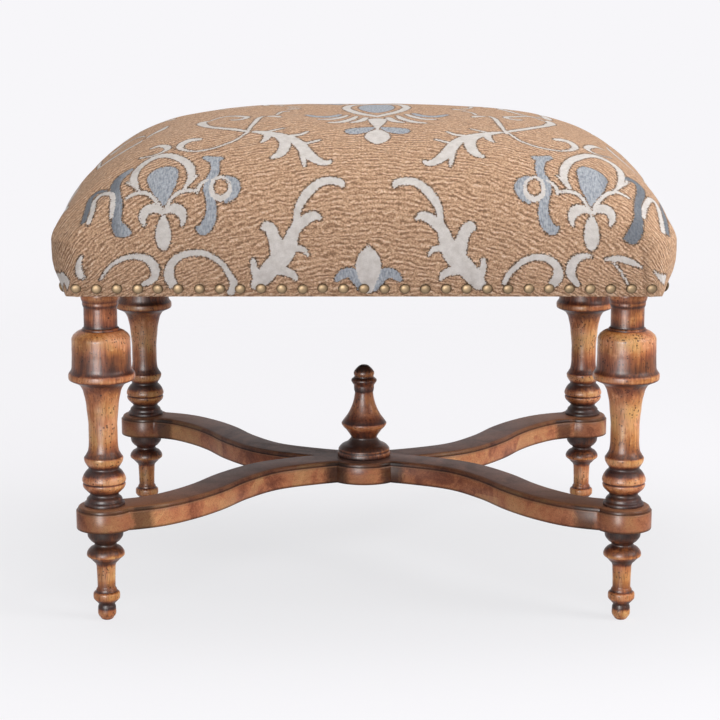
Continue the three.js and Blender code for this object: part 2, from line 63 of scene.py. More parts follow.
# The widest ring of the frame's plain foot and finial, as shares of their full radius.
FRAME_FOOT_SHARE = 0.98
FRAME_FINIAL_SHARE = 0.99


def middle_of(name):
    """Middle of a frame piece's box."""
    low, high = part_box(name)
    return (low + high) / 2


def half_width_of(name):
    """Half the width of a frame piece's box."""
    low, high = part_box(name)
    return (high.x - low.x) / 2


# Places and sizes taken from the frame: the legs' axes, the levels and the padded seat.
LEG_X = middle_of("foot_front_right").x
LEG_Y = middle_of("foot_back_right").y
FOOT_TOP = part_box("foot_front_left")[1].z
DISC_RADIUS = half_width_of("foot_front_left") / FRAME_FOOT_SHARE
BELL_RADIUS = half_width_of("leg_front_left")
TENON_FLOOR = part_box("leg_front_left")[0].z
POST_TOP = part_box("leg_front_left")[1].z
POST_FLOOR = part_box("rail_front")[0].z
BOARD_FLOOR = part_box("stretcher_lower")[0].z
BOARD_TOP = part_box("stretcher_lower")[1].z
FINIAL_RADIUS = half_width_of("finial") / FRAME_FINIAL_SHARE
FINIAL_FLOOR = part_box("finial")[0].z
FINIAL_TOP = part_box("finial")[1].z
SEAT_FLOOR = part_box("seat_cover")[0].z
SEAT_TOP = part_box("seat_cover")[1].z
SEAT_HALF_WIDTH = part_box("seat_cover")[1].x
SEAT_HALF_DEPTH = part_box("seat_cover")[1].y

# Clearances, and how far a cut or a hidden end runs on.
GAP = 0.3 * MM
LAP_GAP = 0.08 * MM
OVERRUN = 6 * MM

# How fine round and soft surfaces are: steps along them, sides round them, and points over
# them along X and Y, or for a strap along and across.
TURNING_STEP = 0.9 * MM
TURNING_SIDES = 56
BOW_POINTS = 8
SPLINE_POINTS = 24
ARM_STEPS = 90
DISC_SIDES = 72
NAIL_SIDES = 20
HOLE_SIDES = 40
CLOTH_STEP = 2.3 * MM
COARSE_STEP = 9 * MM
STROKE_STEP = 1.5 * MM
DOME_SAMPLES = 4000
CLOTH_GRID = (320, 280)
STRAP_GRID = (130, 5)
HESSIAN_GRID = (60, 50)
DUST_GRID = (96, 80)

# How far inside a grid's last point a place is kept, as a share of a cell, and the length
# below which two points count as one.
CELL_MARGIN = 0.001
TINY = 1e-6

# Every random draw starts from this seed, and the small lumps from the next one.
SEED = 7

# Angles above which an edge is left sharp.
TURNING_CREASE = math.radians(50)
BOARD_CREASE = math.radians(38)
STUFFING_CREASE = math.radians(60)
SHEET_CREASE = math.radians(40)

# The camera: its distance from the middle of the stool, height, tilt and lens.
CAMERA_BACK = 2480.6 * MM
CAMERA_HEIGHT = 720.7 * MM
CAMERA_TILT = math.radians(11.033)
CAMERA_LENS = 110.665
SENSOR = 36
PICTURE = 720
PICTURE_AXIS_PX = 364

# The lamps: place, size, share of the lamp power, and whether only gloss shows it.
LAMPS = {
    "side_lamp": ((2.3, -1.1, 1.5), (1.2, 1.2), 1.4, False),
    "fill_lamp": ((0.4, -2.2, 2.1), (1.4, 1.4), 0.5, False),
    "strip_lamp": ((-0.85, -2.6, 0.6), (0.6, 1.8), 6.5, True),
    "top_lamp": ((-0.3, 0.3, 3.0), (1.6, 1.6), 0.8, False),
}
LAMP_AIM = (0, 0, 0.3)
WORLD_LIGHT = 0.26

# The floor: its size, how far it lies under the feet, where it fades into the backdrop, the
# painted shadow round the stool and how that is drawn out, the strength of its own tone, and
# the share of that in what the camera sees. The rest is lit paint.
FLOOR_RADIUS = 3.0
FLOOR_SIDES = 96
FLOOR_DROP = 0.1 * MM
FLOOR_FADE = (0.9, 2.6)
PAINTED_SHADOW_FADE = (0.15, 0.8)
PAINTED_SHADOW_SQUEEZE = (0.75, 1.25, 1)
FLOOR_STRENGTH = 1.04
FLOOR_SEEN_SHARE = 0.82

# Turned outlines from the bottom up: height, radius, bow of the stretch up to that point
# (out for a bead, in for a cove) and how dark the glaze lies there.
LEG_SHARES = [
    (0, 0.61, 0, 0.95),
    (0.012, 0.605, 0.05, 0.85),
    (0.02, 0.54, 0, 1),
    (0.034, 0.515, 0.1, 0.8),
    (0.041, 0.465, 0, 1),
    (0.049, 0.43, -0.08, 0.95),
    (0.058, 0.44, 0, 0.95),
    (0.072, 0.545, 0.06, 0.5),
    (0.1, 0.645, 0.12, 0.1),
    (0.106, 0.605, 0, 1),
    (0.112, 0.65, 0, 0.1),
    (0.135, 0.63, 0.1, 0.16),
    (0.148, 0.59, 0.04, 0.7),
    (0.162, 0.525, 0.02, 0.92),
    (0.1725, 0.455, -0.04, 1),
    (0.18, 0.465, 0, 0.9),
    (0.2, 0.55, 0.02, 0.12),
    (0.21, 0.578, 0.05, 0.1),
    (0.2255, 0.588, 0.03, 0.16),
    (0.23, 0.565, 0, 0.75),
    (0.243, 0.513, -0.04, 0.7),
    (0.257, 0.465, -0.04, 0.6),
    (0.271, 0.447, 0, 0.5),
    (0.32, 0.433, -0.02, 0.25),
    (0.383, 0.431, 0, 0.1),
    (0.45, 0.474, -0.01, 0.06),
    (0.526, 0.549, -0.03, 0.3),
    (0.545, 0.578, -0.02, 0.5),
    (0.571, 0.68, -0.04, 0.62),
    (0.588, 0.9, -0.03, 0.9),
    (0.594, 0.975, 0, 0.75),
    (0.602, 0.99, 0.04, 0.2),
    (0.622, 0.985, 0.03, 0.3),
    (0.629, 0.95, 0, 0.75),
    (0.652, 0.888, -0.08, 0.66),
    (0.71, 0.874, 0, 0.5),
    (0.752, 0.872, 0.01, 0.2),
    (0.779, 0.872, 0, 0.1),
    (0.795, 0.845, 0.1, 0.1),
    (0.808, 0.77, 0.08, 0.1),
    (0.818, 0.68, 0.05, 0.14),
    (0.823, 0.6, 0, 0.25),
    (0.826, 0.55, 0, 0.9),
    (0.831, 0.56, 0.1, 0.35),
    (0.837, 0.5, 0, 0.95),
    (0.85, 0.497, 0, 0.55),
    (0.89, 0.497, 0, 0.32),
    (0.929, 0.497, 0, 0.6),
    (0.936, 0.52, 0, 0.9),
    (0.95, 0.53, 0.08, 0.35),
    (0.957, 0.535, 0, 0.75),
    (0.975, 0.575, 0.06, 0.3),
    (0.99, 0.59, 0.05, 0.4),
    (1, 0.57, 0, 1),
]
FOOT_SHARES = [
    (0, 0.23, 0, 0.6),
    (0.028, 0.37, 0.12, 0.3),
    (0.06, 0.475, 0.06, 0.2),
    (0.105, 0.48, 0.04, 0.3),
    (0.13, 0.475, 0, 0.95),
    (0.15, 0.46, 0.04, 1),
    (0.165, 0.425, 0, 1),
    (0.175, 0.43, 0, 0.95),
    (0.19, 0.5, 0, 0.85),
    (0.222, 0.65, 0, 0.5),
    (0.236, 0.7, 0.05, 0.2),
    (0.288, 0.7, 0.03, 0.12),
    (0.302, 0.66, 0.1, 0.3),
    (0.312, 0.57, 0, 0.85),
    (0.322, 0.555, 0, 0.6),
    (0.342, 0.53, 0.05, 0.5),
    (0.358, 0.475, -0.1, 0.45),
    (0.45, 0.48, 0, 0.12),
    (0.59, 0.505, 0, 0.2),
    (0.609, 0.525, 0, 0.6),
    (0.645, 0.68, -0.06, 0.85),
    (0.7, 0.975, -0.04, 0.5),
    (0.708, 1, 0, 0.08),
    (0.742, 0.985, 0.04, 0.6),
    (0.766, 0.92, 0, 0.7),
    (0.79, 0.81, -0.02, 0.72),
    (0.8156, 0.6, -0.05, 0.9),
    (0.826, 0.573, 0, 1),
    (0.836, 0.58, 0, 1),
    (0.85, 0.64, 0, 0.9),
    (0.882, 0.82, 0.08, 0.8),
    (0.918, 0.935, 0.06, 0.85),
    (0.95, 0.955, 0, 0.9),
    (1, 0.98, 0, 1),
]
FINIAL_SHARES = [
    (0, 0.985, 0, 1),
    (0.03, 1, 0.1, 0.7),
    (0.05, 0.985, 0, 0.5),
    (0.058, 0.955, 0, 1),
    (0.08, 0.965, 0.1, 0.42),
    (0.09, 0.935, 0, 0.85),
    (0.129, 0.775, 0.08, 0.85),
    (0.177, 0.545, -0.08, 0.95),
    (0.2, 0.48, 0, 1),
    (0.214, 0.49, 0, 0.7),
    (0.25, 0.57, 0, 0.6),
    (0.3, 0.7, 0, 0.4),
    (0.343, 0.83, 0.06, 0.12),
    (0.366, 0.845, 0.14, 0.3),
    (0.375, 0.82, 0, 0.8),
    (0.41, 0.735, 0, 0.6),
    (0.472, 0.585, -0.03, 0.35),
    (0.545, 0.467, -0.02, 0.32),
    (0.618, 0.388, -0.02, 0.36),
    (0.704, 0.342, -0.02, 0.65),
    (0.712, 0.36, 0, 1),
    (0.777, 0.376, 0.04, 0.6),
    (0.82, 0.476, 0, 0.75),
    (0.845, 0.46, 0.16, 0.7),
    (0.868, 0.355, 0, 0.95),
    (0.89, 0.37, 0, 0.45),
    (0.915, 0.385, 0.12, 0.5),
    (0.945, 0.33, 0.08, 0.8),
    (0.97, 0.25, 0.04, 0.95),
    (1, 0, 0.14, 1),
]

# What the seat and the stretcher hide of the turned pieces: tenons, shoulders as shares of
# the radius over them, the legs' square heads, and the glaze on the heads and soles.
TENON_RADIUS = 8 * MM
SHOULDER_SHARE = 0.97
HEAD_HALF_WIDTH = 22.5 * MM
HEAD_GLAZE = 0.4
SOLE_GLAZE = 0.8

# Middle line of one stretcher arm from the crossing outwards, as shares of the leg's place.
ARM_SHARES = [
    (0.2, 0.08),
    (0.4, 0.213),
    (0.535, 0.419),
    (0.63, 0.637),
    (0.72, 0.79),
    (0.83, 0.915),
    (1, 1),
]
ARM_HALF_WIDTH = 21.5 * MM
PAD_RADIUS = 30 * MM
BOSS_RADIUS = 44 * MM

# Section of the stretcher's edge from its underside up: inset from the side and depth
# below the top. A small round below, a quirk, and an ovolo up to the flat top.
EDGE_SECTION = [
    (1.2 * MM, 25 * MM),
    (0.35 * MM, 24.6 * MM),
    (0, 23.7 * MM),
    (0, 5.3 * MM),
    (0.3 * MM, 4.9 * MM),
    (1.5 * MM, 4.7 * MM),
    (1.5 * MM, 4.2 * MM),
    (1.6 * MM, 3.1 * MM),
    (2.1 * MM, 1.9 * MM),
    (2.9 * MM, 0.9 * MM),
    (3.9 * MM, 0.25 * MM),
    (5 * MM, 0),
]

# The padded seat: how far its walls swell beyond the lower edge and how high they are, the
# swelling at shares of that height, the corners' plan radius at the edge and at the widest,
# and the powers of the dome's plan and shoulder and of its meeting with the rim.
WALL_SWELL = 14.5 * MM
WALL_TOP = 58 * MM
WALL_SHARES = [
    (0, 0),
    (0.06, 0.13),
    (0.14, 0.27),
    (0.28, 0.48),
    (0.45, 0.78),
    (0.62, 0.95),
    (0.8, 1),
    (1, 0.99),
]
EDGE_CORNER = 6 * MM
SWOLLEN_CORNER = 30 * MM
DOME_PLAN_POWERS = (3.4, 3)
DOME_SHOULDER_POWER = 0.5
DOME_RIM_POWER = 8
COVER_THICKNESS = 2 * MM
HEM_WIDTH = 30 * MM

# The hem, turned under the frame: inward from the lower edge, and up. It shows no motif,
# since it is given this distance from the nearest one, in millimetres.
HEM_SECTION = [(1 * MM, -0.2 * MM), (6 * MM, 0), (HEM_WIDTH, 0), (HEM_WIDTH, COVER_THICKNESS)]
HEM_TO_MOTIF = 9

# Room under the cover for its furrows, the wadding, and how far that is pressed.
COVER_ROOM = 1.6 * MM
WADDING_THICKNESS = 8 * MM
WADDING_PRESSED = 1.4 * MM

# The cover's small shapes, each by its height and its reach: lumps of the stuffing, the pull
# at each nail and along the row, and the furrow and roll of the folded corners. The lumps
# are full from a height on, and the folds lean about a height of their own.
BROAD_LUMP = (0.8 * MM, 120 * MM)
SMALL_LUMP = (0.25 * MM, 46 * MM)
LUMPS_FULL_AT = 30 * MM
NAIL_PULL = (1.1 * MM, 6.5 * MM)
ROW_PULL = (0.3 * MM, 15 * MM)
FOLD_FURROW = (3 * MM, 2 * MM)
FOLD_ROLL = (1.3 * MM, 4 * MM)
FOLD_ROLL_OUT = 5.5 * MM
FOLD_INSET = 21.5 * MM
FOLD_LEAN = 0.125
FOLD_LEAN_ABOUT = 24 * MM
PULLED_BELOW = 50 * MM
PULLED_FACING = 0.6

# Upholstery nails along the lower edge, and how far they are sunk in the cloth. Set by hand,
# they stray along the row and up, and lean. The wall's slope behind them is told between two
# heights, one as far over the row as the other is under it.
NAIL_WIDTH = 11.2 * MM
NAIL_HEIGHT = 3.6 * MM
NAIL_UP = 8.7 * MM
NAIL_PITCH = 20.9 * MM
NAIL_CORNER_INSET = 12 * MM
NAIL_SUNK = 0.9 * MM
NAIL_STRAY = (0.35 * MM, 0.25 * MM)
NAIL_LEAN = 0.05
WALL_SLOPE_REACH = 4 * MM
NAIL_SHARES = [(0.97, 0), (1, 0.08), (0.99, 0.2), (0.9, 0.5), (0.72, 0.76), (0.48, 0.92), (0.24, 0.985)]

# Webbing and dust cloth: how far a strap rises over the one that it crosses, the flat and the
# slope of that rise, how far the dust cloth sags, and its holes for the legs.
STRAP_THICKNESS = 1.6 * MM
STRAP_LIFT = 1.9 * MM
STRAP_FLAT = 27 * MM
STRAP_SLOPE = 14 * MM
DUST_SAG = 3 * MM
LEG_HOLE_RADIUS = 20.1 * MM

# Real sizes of the patterns in wood, metal, jute and filling: clouds of stain, streaks of
# brushed glaze, pores, scuffs, flecks and their clusters, burl, beech grain, tarnish, threads
# and cells. A squeeze is how far the grain draws a pattern out.
STAIN_CLOUD = 30 * MM
STAIN_HUE = 34 * MM
GLAZE_STREAK = 3 * MM
WOOD_PORE = 1 * MM
WOOD_SCUFF = 9 * MM
WOOD_FLECK = 3.6 * MM
FLECK_CLUSTER = 12 * MM
GRAIN_SQUEEZE = 0.09
BURL_CLOUD = 46 * MM
BURL_FIGURE = 10 * MM
VENEER_LEAF = 70 * MM
FIGURE_WANDER = 12 * MM
BEECH_GRAIN = 3 * MM
BEECH_SQUEEZE = (0.15, 0.15, 1)
TARNISH = 4 * MM
ZINC_BLOOM = 2 * MM
WEBBING_THREAD = 2 * MM
HESSIAN_THREAD = 1.4 * MM
FOAM_CELL = 2.2 * MM
WADDING_FIBRE = 3.5 * MM
CAMBRIC_FIBRE = 1.2 * MM

# How far from the legs' axes a warm reflection is painted on the board's top. How light its
# sides stay under painted shade at shares of a reach from these axes and from the inner corners
# of boss and arms, and at shares of its height, and how bright the painted highlights on its lip
# and its arris are at shares of that height.
TOP_REFLECTION_REACH = (40 * MM, 140 * MM)
SHADE_REACH = 100 * MM
# Painted shade on the sides where the arms meet the pads, with the pads' own sides a little darker, and
# painted shade in the inner corners of boss and arms.
PAD_PAINTED_SHADE = [(0.38, 0.74), (0.41, 0.3), (0.54, 0.38), (0.6, 1)]
BOSS_PAINTED_SHADE = [(0.14, 0.2), (0.18, 0.4), (0.24, 1)]
# Painted shade along the rounded lower edge and in the quirk and ovolo of the moulding.
EDGE_PAINTED_SHADE = [
    (0, 0.15),
    (0.06, 0.4),
    (0.13, 1),
    (0.68, 0.95),
    (0.78, 0.6),
    (0.81, 0.16),
    (0.86, 0.3),
    (0.93, 0.4),
]
# Painted highlights: a thin light line on the lip below the quirk and on the top arris.
LIP_PAINTED_HIGHLIGHT = [(0.73, 0), (0.765, 0.4), (0.785, 0.4), (0.8, 0)]
ARRIS_PAINTED_HIGHLIGHT = [(0.93, 0), (0.97, 0.22), (1, 0.1)]

# Real sizes in the cloth, its threads drawn twice as coarse: how the ribs bow, wander and
# ripple, the ground's lumps, the motifs' ragged edges in millimetres, and their shading.
RIB_BOW = 900 * MM
RIB_DROOP_END = 290 * MM
RIB_WANDER = 26 * MM
RIB_RIPPLE = 5 * MM
RIB_BREAK = 7 * MM
GROUND_LUMP = 3.4 * MM
GROUND_GRAIN = 1.9 * MM
THREAD = 1.15 * MM
EDGE_FUZZ = 2 * MM
EDGE_RAGGED = 1.6
# Painted shade round each motif, where the ground puckers: full within the first distance of its edge in
# millimetres, gone at the second.
MOTIF_EDGE_SHADE_FADE = (1.2, 2.2)
MOTIF_FADE = 0.3
DARK_STEM_FROM = (240 * MM, 256 * MM)
BLUE_STRAND = 1.8 * MM
WHITE_CLOUD = 7 * MM


def linear(hex_colour):
    """Linear RGB of an sRGB hex value."""
    parts = [(hex_colour >> shift & 255) / 255 for shift in (16, 8, 0)]
    return [part / 12.92 if part <= 0.04045 else ((part + 0.055) / 1.055) ** 2.4 for part in parts]


def opaque(hex_colour):
    """Linear RGBA of an sRGB hex value."""
    return (*linear(hex_colour), 1)


def colour_property(name, description, hex_colour):
    """A colour that the sidebar shows."""
    return bpy.props.FloatVectorProperty(
        name=name, description=description, subtype="COLOR", size=3, min=0, max=1, default=linear(hex_colour)
    )


class StoolWood(bpy.types.PropertyGroup):
    """Colours of the stained and glazed walnut."""

    rubbed: colour_property("Rubbed wood", "Amber where the glaze is rubbed off the rounds", 0xDBAA7C)
    stained: colour_property("Stained wood", "Red-brown of the stain between", 0x8E5536)
    glazed: colour_property("Glaze", "Near-black glaze left in the coves", 0x3A2420)
    board_side: colour_property("Board side", "Reddish side of the stretcher", 0xBE7853)
    board_top: colour_property("Board top", "Dull brown top of the stretcher", 0x5E413A)


class StoolSeat(bpy.types.PropertyGroup):
    """Sizes and colours of the upholstery."""

    ground: colour_property("Ground", "Tan ground of the cloth", 0xD9B190)
    # Painted shade in the furrows between the ribs.
    furrow_shade: colour_property("Furrow", "Brown between the ribs", 0xAF886B)
    white: colour_property("Light motif", "Off-white scrolls and leaves", 0xE6DFDA)
    blue: colour_property("Grey motif", "Blue-grey stems and petals", 0xACB0B8)
    # Colour of the painted shade round the motifs.
    outline: colour_property("Outline", "Dark edge of the motifs", 0x4A3C33)
    rib_pitch: bpy.props.FloatProperty(
        name="Rib pitch", description="Spacing of the woven ribs", default=5.4 * MM, min=MM, unit="LENGTH"
    )
    # Brass at the nails' crowns, where a painted highlight lies; lower down it is painted darker as shade.
    brass: colour_property("Nails", "Antiqued brass of the nails", 0x7F6D56)
    nail_width: bpy.props.FloatProperty(
        name="Nail width", description="Width of a nail's head", default=NAIL_WIDTH, min=MM, unit="LENGTH"
    )
    nail_pitch: bpy.props.FloatProperty(
        name="Nail pitch", description="Spacing of the nails", default=NAIL_PITCH, min=5 * MM, unit="LENGTH"
    )


class StoolStage(bpy.types.PropertyGroup):
    """Floor and backdrop."""

    backdrop: colour_property("Backdrop", "Pale backdrop behind the stool", 0xF7F6F9)
    # The floor's tone in the middle of its painted shadow round the stool; further out it turns to the
    # backdrop.
    floor: colour_property("Floor", "Pale floor under the stool", 0xEDEDEF)
    lamp_power: bpy.props.FloatProperty(
        name="Lamp power", description="Power of which each lamp has its share",
        default=34, min=0, unit="POWER",
    )


def add(tree, kind, inputs=(), stops=(), **settings):
    """Adds a shader node with its settings and links.

    Each input is a value, a socket or a node, whose first output in use is linked. They come
    in order or by name, and stops fill a ramp.
    """
    made = tree.nodes.new("ShaderNode" + kind)
    for name, value in settings.items():
        setattr(made, name, value)
    named = inputs if isinstance(inputs, dict) else dict(enumerate(inputs))
    for key, value in named.items():
        if isinstance(value, bpy.types.Node):
            value = next(output for output in value.outputs if output.enabled)
        if isinstance(value, bpy.types.NodeSocket):
            tree.links.new(value, made.inputs[key])
        else:
            made.inputs[key].default_value = value
    while stops and len(made.color_ramp.elements) < len(stops):
        made.color_ramp.elements.new(1)
    for place, (position, colour) in enumerate(stops):
        made.color_ramp.elements[place].position = position
        made.color_ramp.elements[place].color = colour
    return made


def new_material(name):
    """An empty node material, and the function that adds a node to it."""
    material = bpy.data.materials.new(name)
    material.use_nodes = True
    material.node_tree.nodes.clear()
    return material, partial(add, material.node_tree)


def greys(rows):
    """Stops of a grey ramp, from its positions and values."""
    return [(position, (value, value, value, 1)) for position, value in rows]


def looked_at(node):
    """1 for rays that look from the camera, through glass or by gloss, and 0 for light."""
    rays = node("LightPath").outputs
    direct = node("Math", [rays["Is Camera Ray"], rays["Is Transmission Ray"]], operation="MAXIMUM")
    return node("Math", [direct, rays["Is Glossy Ray"]], operation="MAXIMUM")


def turned_walnut(name, wood):
    """Turned walnut, stained, glazed and rubbed back under satin lacquer.

    The rounds shine amber, the coves are almost black, and fine dark pores and flecks run
    along the grain. The lacquer follows the grain, so its long highlights break up.
    """
    material, node = new_material(name)
    place = node("TexCoord").outputs["Object"]
    glaze = node("Attribute", attribute_name="glaze").outputs["Fac"]
    along = node("Mapping", {"Vector": place, "Scale": (1, 1, GRAIN_SQUEEZE)})
    clouds = node("TexNoise", {"Vector": place, "Scale": 1 / STAIN_CLOUD, "Detail": 4})
    streaks = node("TexNoise", {"Vector": along, "Scale": 1 / GLAZE_STREAK, "Detail": 4})
    pores = node("TexNoise", {"Vector": along, "Scale": 1 / WOOD_PORE, "Detail": 2})
    start = node("Math", [glaze, 0.8], operation="SUBTRACT")
    clouded = node("Math", [clouds, 0.9, start], operation="MULTIPLY_ADD")
    depth = node("Math", [streaks, 0.7, clouded], operation="MULTIPLY_ADD", use_clamp=True)
    tone = node("ValToRGB", [depth], stops=[
        (0, (*wood.rubbed, 1)),
        (0.25, opaque(0xBC7D4F)),
        (0.5, (*wood.stained, 1)),
        (0.76, opaque(0x532E20)),
        (1, (*wood.glazed, 1)),
    ])
    pore_mask = node("ValToRGB", [pores], stops=greys([(0.3, 0.5), (0.45, 1)]))
    toned = node("Mix", {0: 1, 6: tone, 7: pore_mask}, data_type="RGBA", blend_type="MULTIPLY")
    scuffs = node("TexNoise", {"Vector": place, "Scale": 1 / WOOD_SCUFF, "Detail": 6, "Roughness": 0.7})
    scuffed = node("MapRange", [scuffs, 0.54, 0.66, 0, 0.75])
    bare = node("MapRange", [depth, 0.1, 0.55, 1, 0])
    scuff = node("Math", [scuffed, bare], operation="MULTIPLY")
    worn = node("Mix", {0: scuff, 6: toned, 7: opaque(0xE6B587)}, data_type="RGBA")
    flecks = node("TexVoronoi", {"Vector": place, "Scale": 1 / WOOD_FLECK})
    scatter = node("TexNoise", {"Vector": place, "Scale": 1 / FLECK_CLUSTER, "Detail": 2})
    reach = node("Math", [scatter, -0.8, flecks], operation="MULTIPLY_ADD")
    fleck = node("MapRange", [reach, -0.3, -0.14, 0.8, 0])
    spotted = node("Mix", {0: fleck, 6: worn, 7: opaque(0x3A2016)}, data_type="RGBA")
    hues = node("TexNoise", {"Vector": place, "Scale": 1 / STAIN_HUE, "Detail": 2})
    hue = node("ValToRGB", [hues], stops=[(0.42, opaque(0xFFF6D6)), (0.58, opaque(0xFFEAE6))])
    varied = node("Mix", {0: 1, 6: spotted, 7: hue}, data_type="RGBA", blend_type="MULTIPLY")
    dull = node("MapRange", [depth, 0, 1, 0.17, 0.27])
    roughness = node("Math", [clouds, 0.3, dull], operation="MULTIPLY_ADD")
    fine = node("Math", [pores, 0.35], operation="MULTIPLY")
    relief = node("Math", [streaks, 0.5, fine], operation="MULTIPLY_ADD")
    bump = node("Bump", {"Height": relief, "Strength": 0.5, "Distance": 0.5 * MM})
    worn_relief = node("Math", [scuffs, 0.9, relief], operation="MULTIPLY_ADD")
    lacquer = node("Bump", {"Height": worn_relief, "Strength": 0.55, "Distance": 0.6 * MM})
    shader = node("BsdfPrincipled", {
        "Base Color": varied,
        "Roughness": roughness,
        "Normal": bump,
        "IOR": 1.5,
        "Specular IOR Level": 0.1,
        "Coat Weight": 0.35,
        "Coat Roughness": 0.42,
        "Coat Normal": lacquer,
    })
    node("OutputMaterial", [shader])
    return material


def board_walnut(name, wood):
    """Sawn and moulded walnut board with burl veneer on its sides, under satin lacquer.

    The flat top is dull dark brown, with a painted warm reflection near the legs. The sides glow
    reddish gold with cloudy burl, under painted shade beside the boss and the pads. The moulded
    edge and the lower edge carry painted shade, with painted highlights on a lip and the arris.
    """
    material, node = new_material(name)
    place = node("TexCoord").outputs["Object"]
    split = node("SeparateXYZ", [place])
    height = node("MapRange", [split.outputs["Z"], BOARD_FLOOR, BOARD_TOP, 0, 1])
    facing = node("SeparateXYZ", [node("NewGeometry").outputs["Normal"]]).outputs["Z"]
    burl = node("TexNoise", {
        "Vector": place, "Scale": 1 / BURL_CLOUD, "Detail": 4, "Roughness": 0.55, "Distortion": 1.2,
    })
    figure = node("TexNoise", {
        "Vector": place, "Scale": 1 / BURL_FIGURE, "Detail": 5, "Roughness": 0.68, "Distortion": 2.6,
    })
    curls = node("Math", [figure, 0.3], operation="MULTIPLY")
    patches = node("Math", [burl, 0.7, curls], operation="MULTIPLY_ADD")
    leaves = node("TexVoronoi", {"Vector": place, "Scale": 1 / VENEER_LEAF}).outputs["Color"]
    leaf = node("SeparateColor", [leaves])
    veneer = node("Math", [leaf, 0.16, patches], operation="MULTIPLY_ADD")
    side = node("ValToRGB", [veneer], stops=[
        (0.38, opaque(0x7A4330)),
        (0.48, opaque(0x985A3F)),
        (0.57, (*wood.board_side, 1)),
        (0.66, opaque(0xC88A5E)),
        (0.77, opaque(0xD59E6C)),
    ])
    from_axes = [node("Math", [split.outputs[axis]], operation="ABSOLUTE") for axis in ("X", "Y")]
    from_leg = [
        node("Math", [away, leg], operation="SUBTRACT") for away, leg in zip(from_axes, (LEG_X, LEG_Y))
    ]
    ragged = node("Math", [figure, FIGURE_WANDER], operation="MULTIPLY")
    to_leg = node("VectorMath", [node("CombineXYZ", from_leg)], operation="LENGTH")
    to_corners = [
        node("VectorMath", [node("CombineXYZ", from_axes), (*corner, 0)], operation="DISTANCE")
        for corner in boss_corners()
    ]
    to_corner = node("Math", to_corners, operation="MINIMUM")
    # Painted shade on the sides beside the pads and in the inner corners of boss and arms.
    shade = side
    for away, painted_shade_stops in ((to_leg, PAD_PAINTED_SHADE), (to_corner, BOSS_PAINTED_SHADE)):
        wandered = node("Math", [away, ragged])
        share = node("Math", [wandered, SHADE_REACH], operation="DIVIDE")
        dark = node("ValToRGB", [share], stops=greys(painted_shade_stops))
        shade = node("Mix", {0: 1, 6: shade, 7: dark}, data_type="RGBA", blend_type="MULTIPLY")
    # Painted shade along the lower edge and in the moulding.
    edge_shading = node("ValToRGB", [height], stops=greys(EDGE_PAINTED_SHADE))
    shaded_side = node("Mix", {0: 1, 6: shade, 7: edge_shading}, data_type="RGBA", blend_type="MULTIPLY")
    top = node("ValToRGB", [patches], stops=[
        (0.38, opaque(0x46302B)),
        (0.5, (*wood.board_top, 1)),
        (0.64, opaque(0x754C3C)),
    ])
    flat = node("MapRange", [facing, 0.6, 0.92, 0, 1])
    # Painted warm reflection on the board's top, lighter near each leg's axis.
    leg_reflection = node("MapRange", [to_leg, *TOP_REFLECTION_REACH, 0.55, 0])
    reflected_top = node("Mix", {0: leg_reflection, 6: top, 7: opaque(0x96603C)}, data_type="RGBA")
    # Painted highlights on the lip below the quirk and on the top arris, mixed towards a light tan.
    lip_highlight = node("ValToRGB", [height], stops=greys(LIP_PAINTED_HIGHLIGHT))
    arris_highlight = node("ValToRGB", [height], stops=greys(ARRIS_PAINTED_HIGHLIGHT))
    rubbed = node("Math", [lip_highlight, arris_highlight], use_clamp=True)
    board = node("Mix", {0: flat, 6: shaded_side, 7: reflected_top}, data_type="RGBA")
    edged = node("Mix", {0: rubbed, 6: board, 7: opaque(0xB98563)}, data_type="RGBA")
    fine = node("TexNoise", {"Vector": place, "Scale": 1 / WOOD_PORE, "Detail": 3})
    pore_mask = node("ValToRGB", [fine], stops=greys([(0.34, 0.65), (0.48, 1)]))
    spotted = node("Mix", {0: 1, 6: edged, 7: pore_mask}, data_type="RGBA", blend_type="MULTIPLY")
    bump = node("Bump", {"Height": fine, "Strength": 0.3, "Distance": 0.3 * MM})
    gloss = node("MapRange", [patches, 0.35, 0.65, 0.42, 0.32])
    roughness = node("Math", [flat, 0.2, gloss], operation="MULTIPLY_ADD")
    shader = node("BsdfPrincipled", {
        "Base Color": spotted,
        "Roughness": roughness,
        "Normal": bump,
        "IOR": 1.45,
        "Specular IOR Level": 0.12,
        "Coat Weight": 0.16,
        "Coat Roughness": 0.32,
        "Coat IOR": 1.4,
    })
    node("OutputMaterial", [shader])
    return material


def planed_beech(name):
    """Planed beech, unfinished: pale, with short brown flecks along the grain."""
    material, node = new_material(name)
    place = node("TexCoord").outputs["Object"]
    grain = node("Mapping", {"Vector": place, "Scale": BEECH_SQUEEZE})
    lines = node("TexNoise", {"Vector": grain, "Scale": 1 / BEECH_GRAIN, "Detail": 4})
    colour = node("ValToRGB", [lines], stops=[
        (0.3, opaque(0xB08A5C)), (0.5, opaque(0xC9A677)), (0.7, opaque(0xD7BA8F)),
    ])
    bump = node("Bump", {"Height": lines, "Strength": 0.2, "Distance": 0.3 * MM})
    shader = node("BsdfPrincipled", {"Base Color": colour, "Roughness": 0.62, "Normal": bump})
    node("OutputMaterial", [shader])
    return material


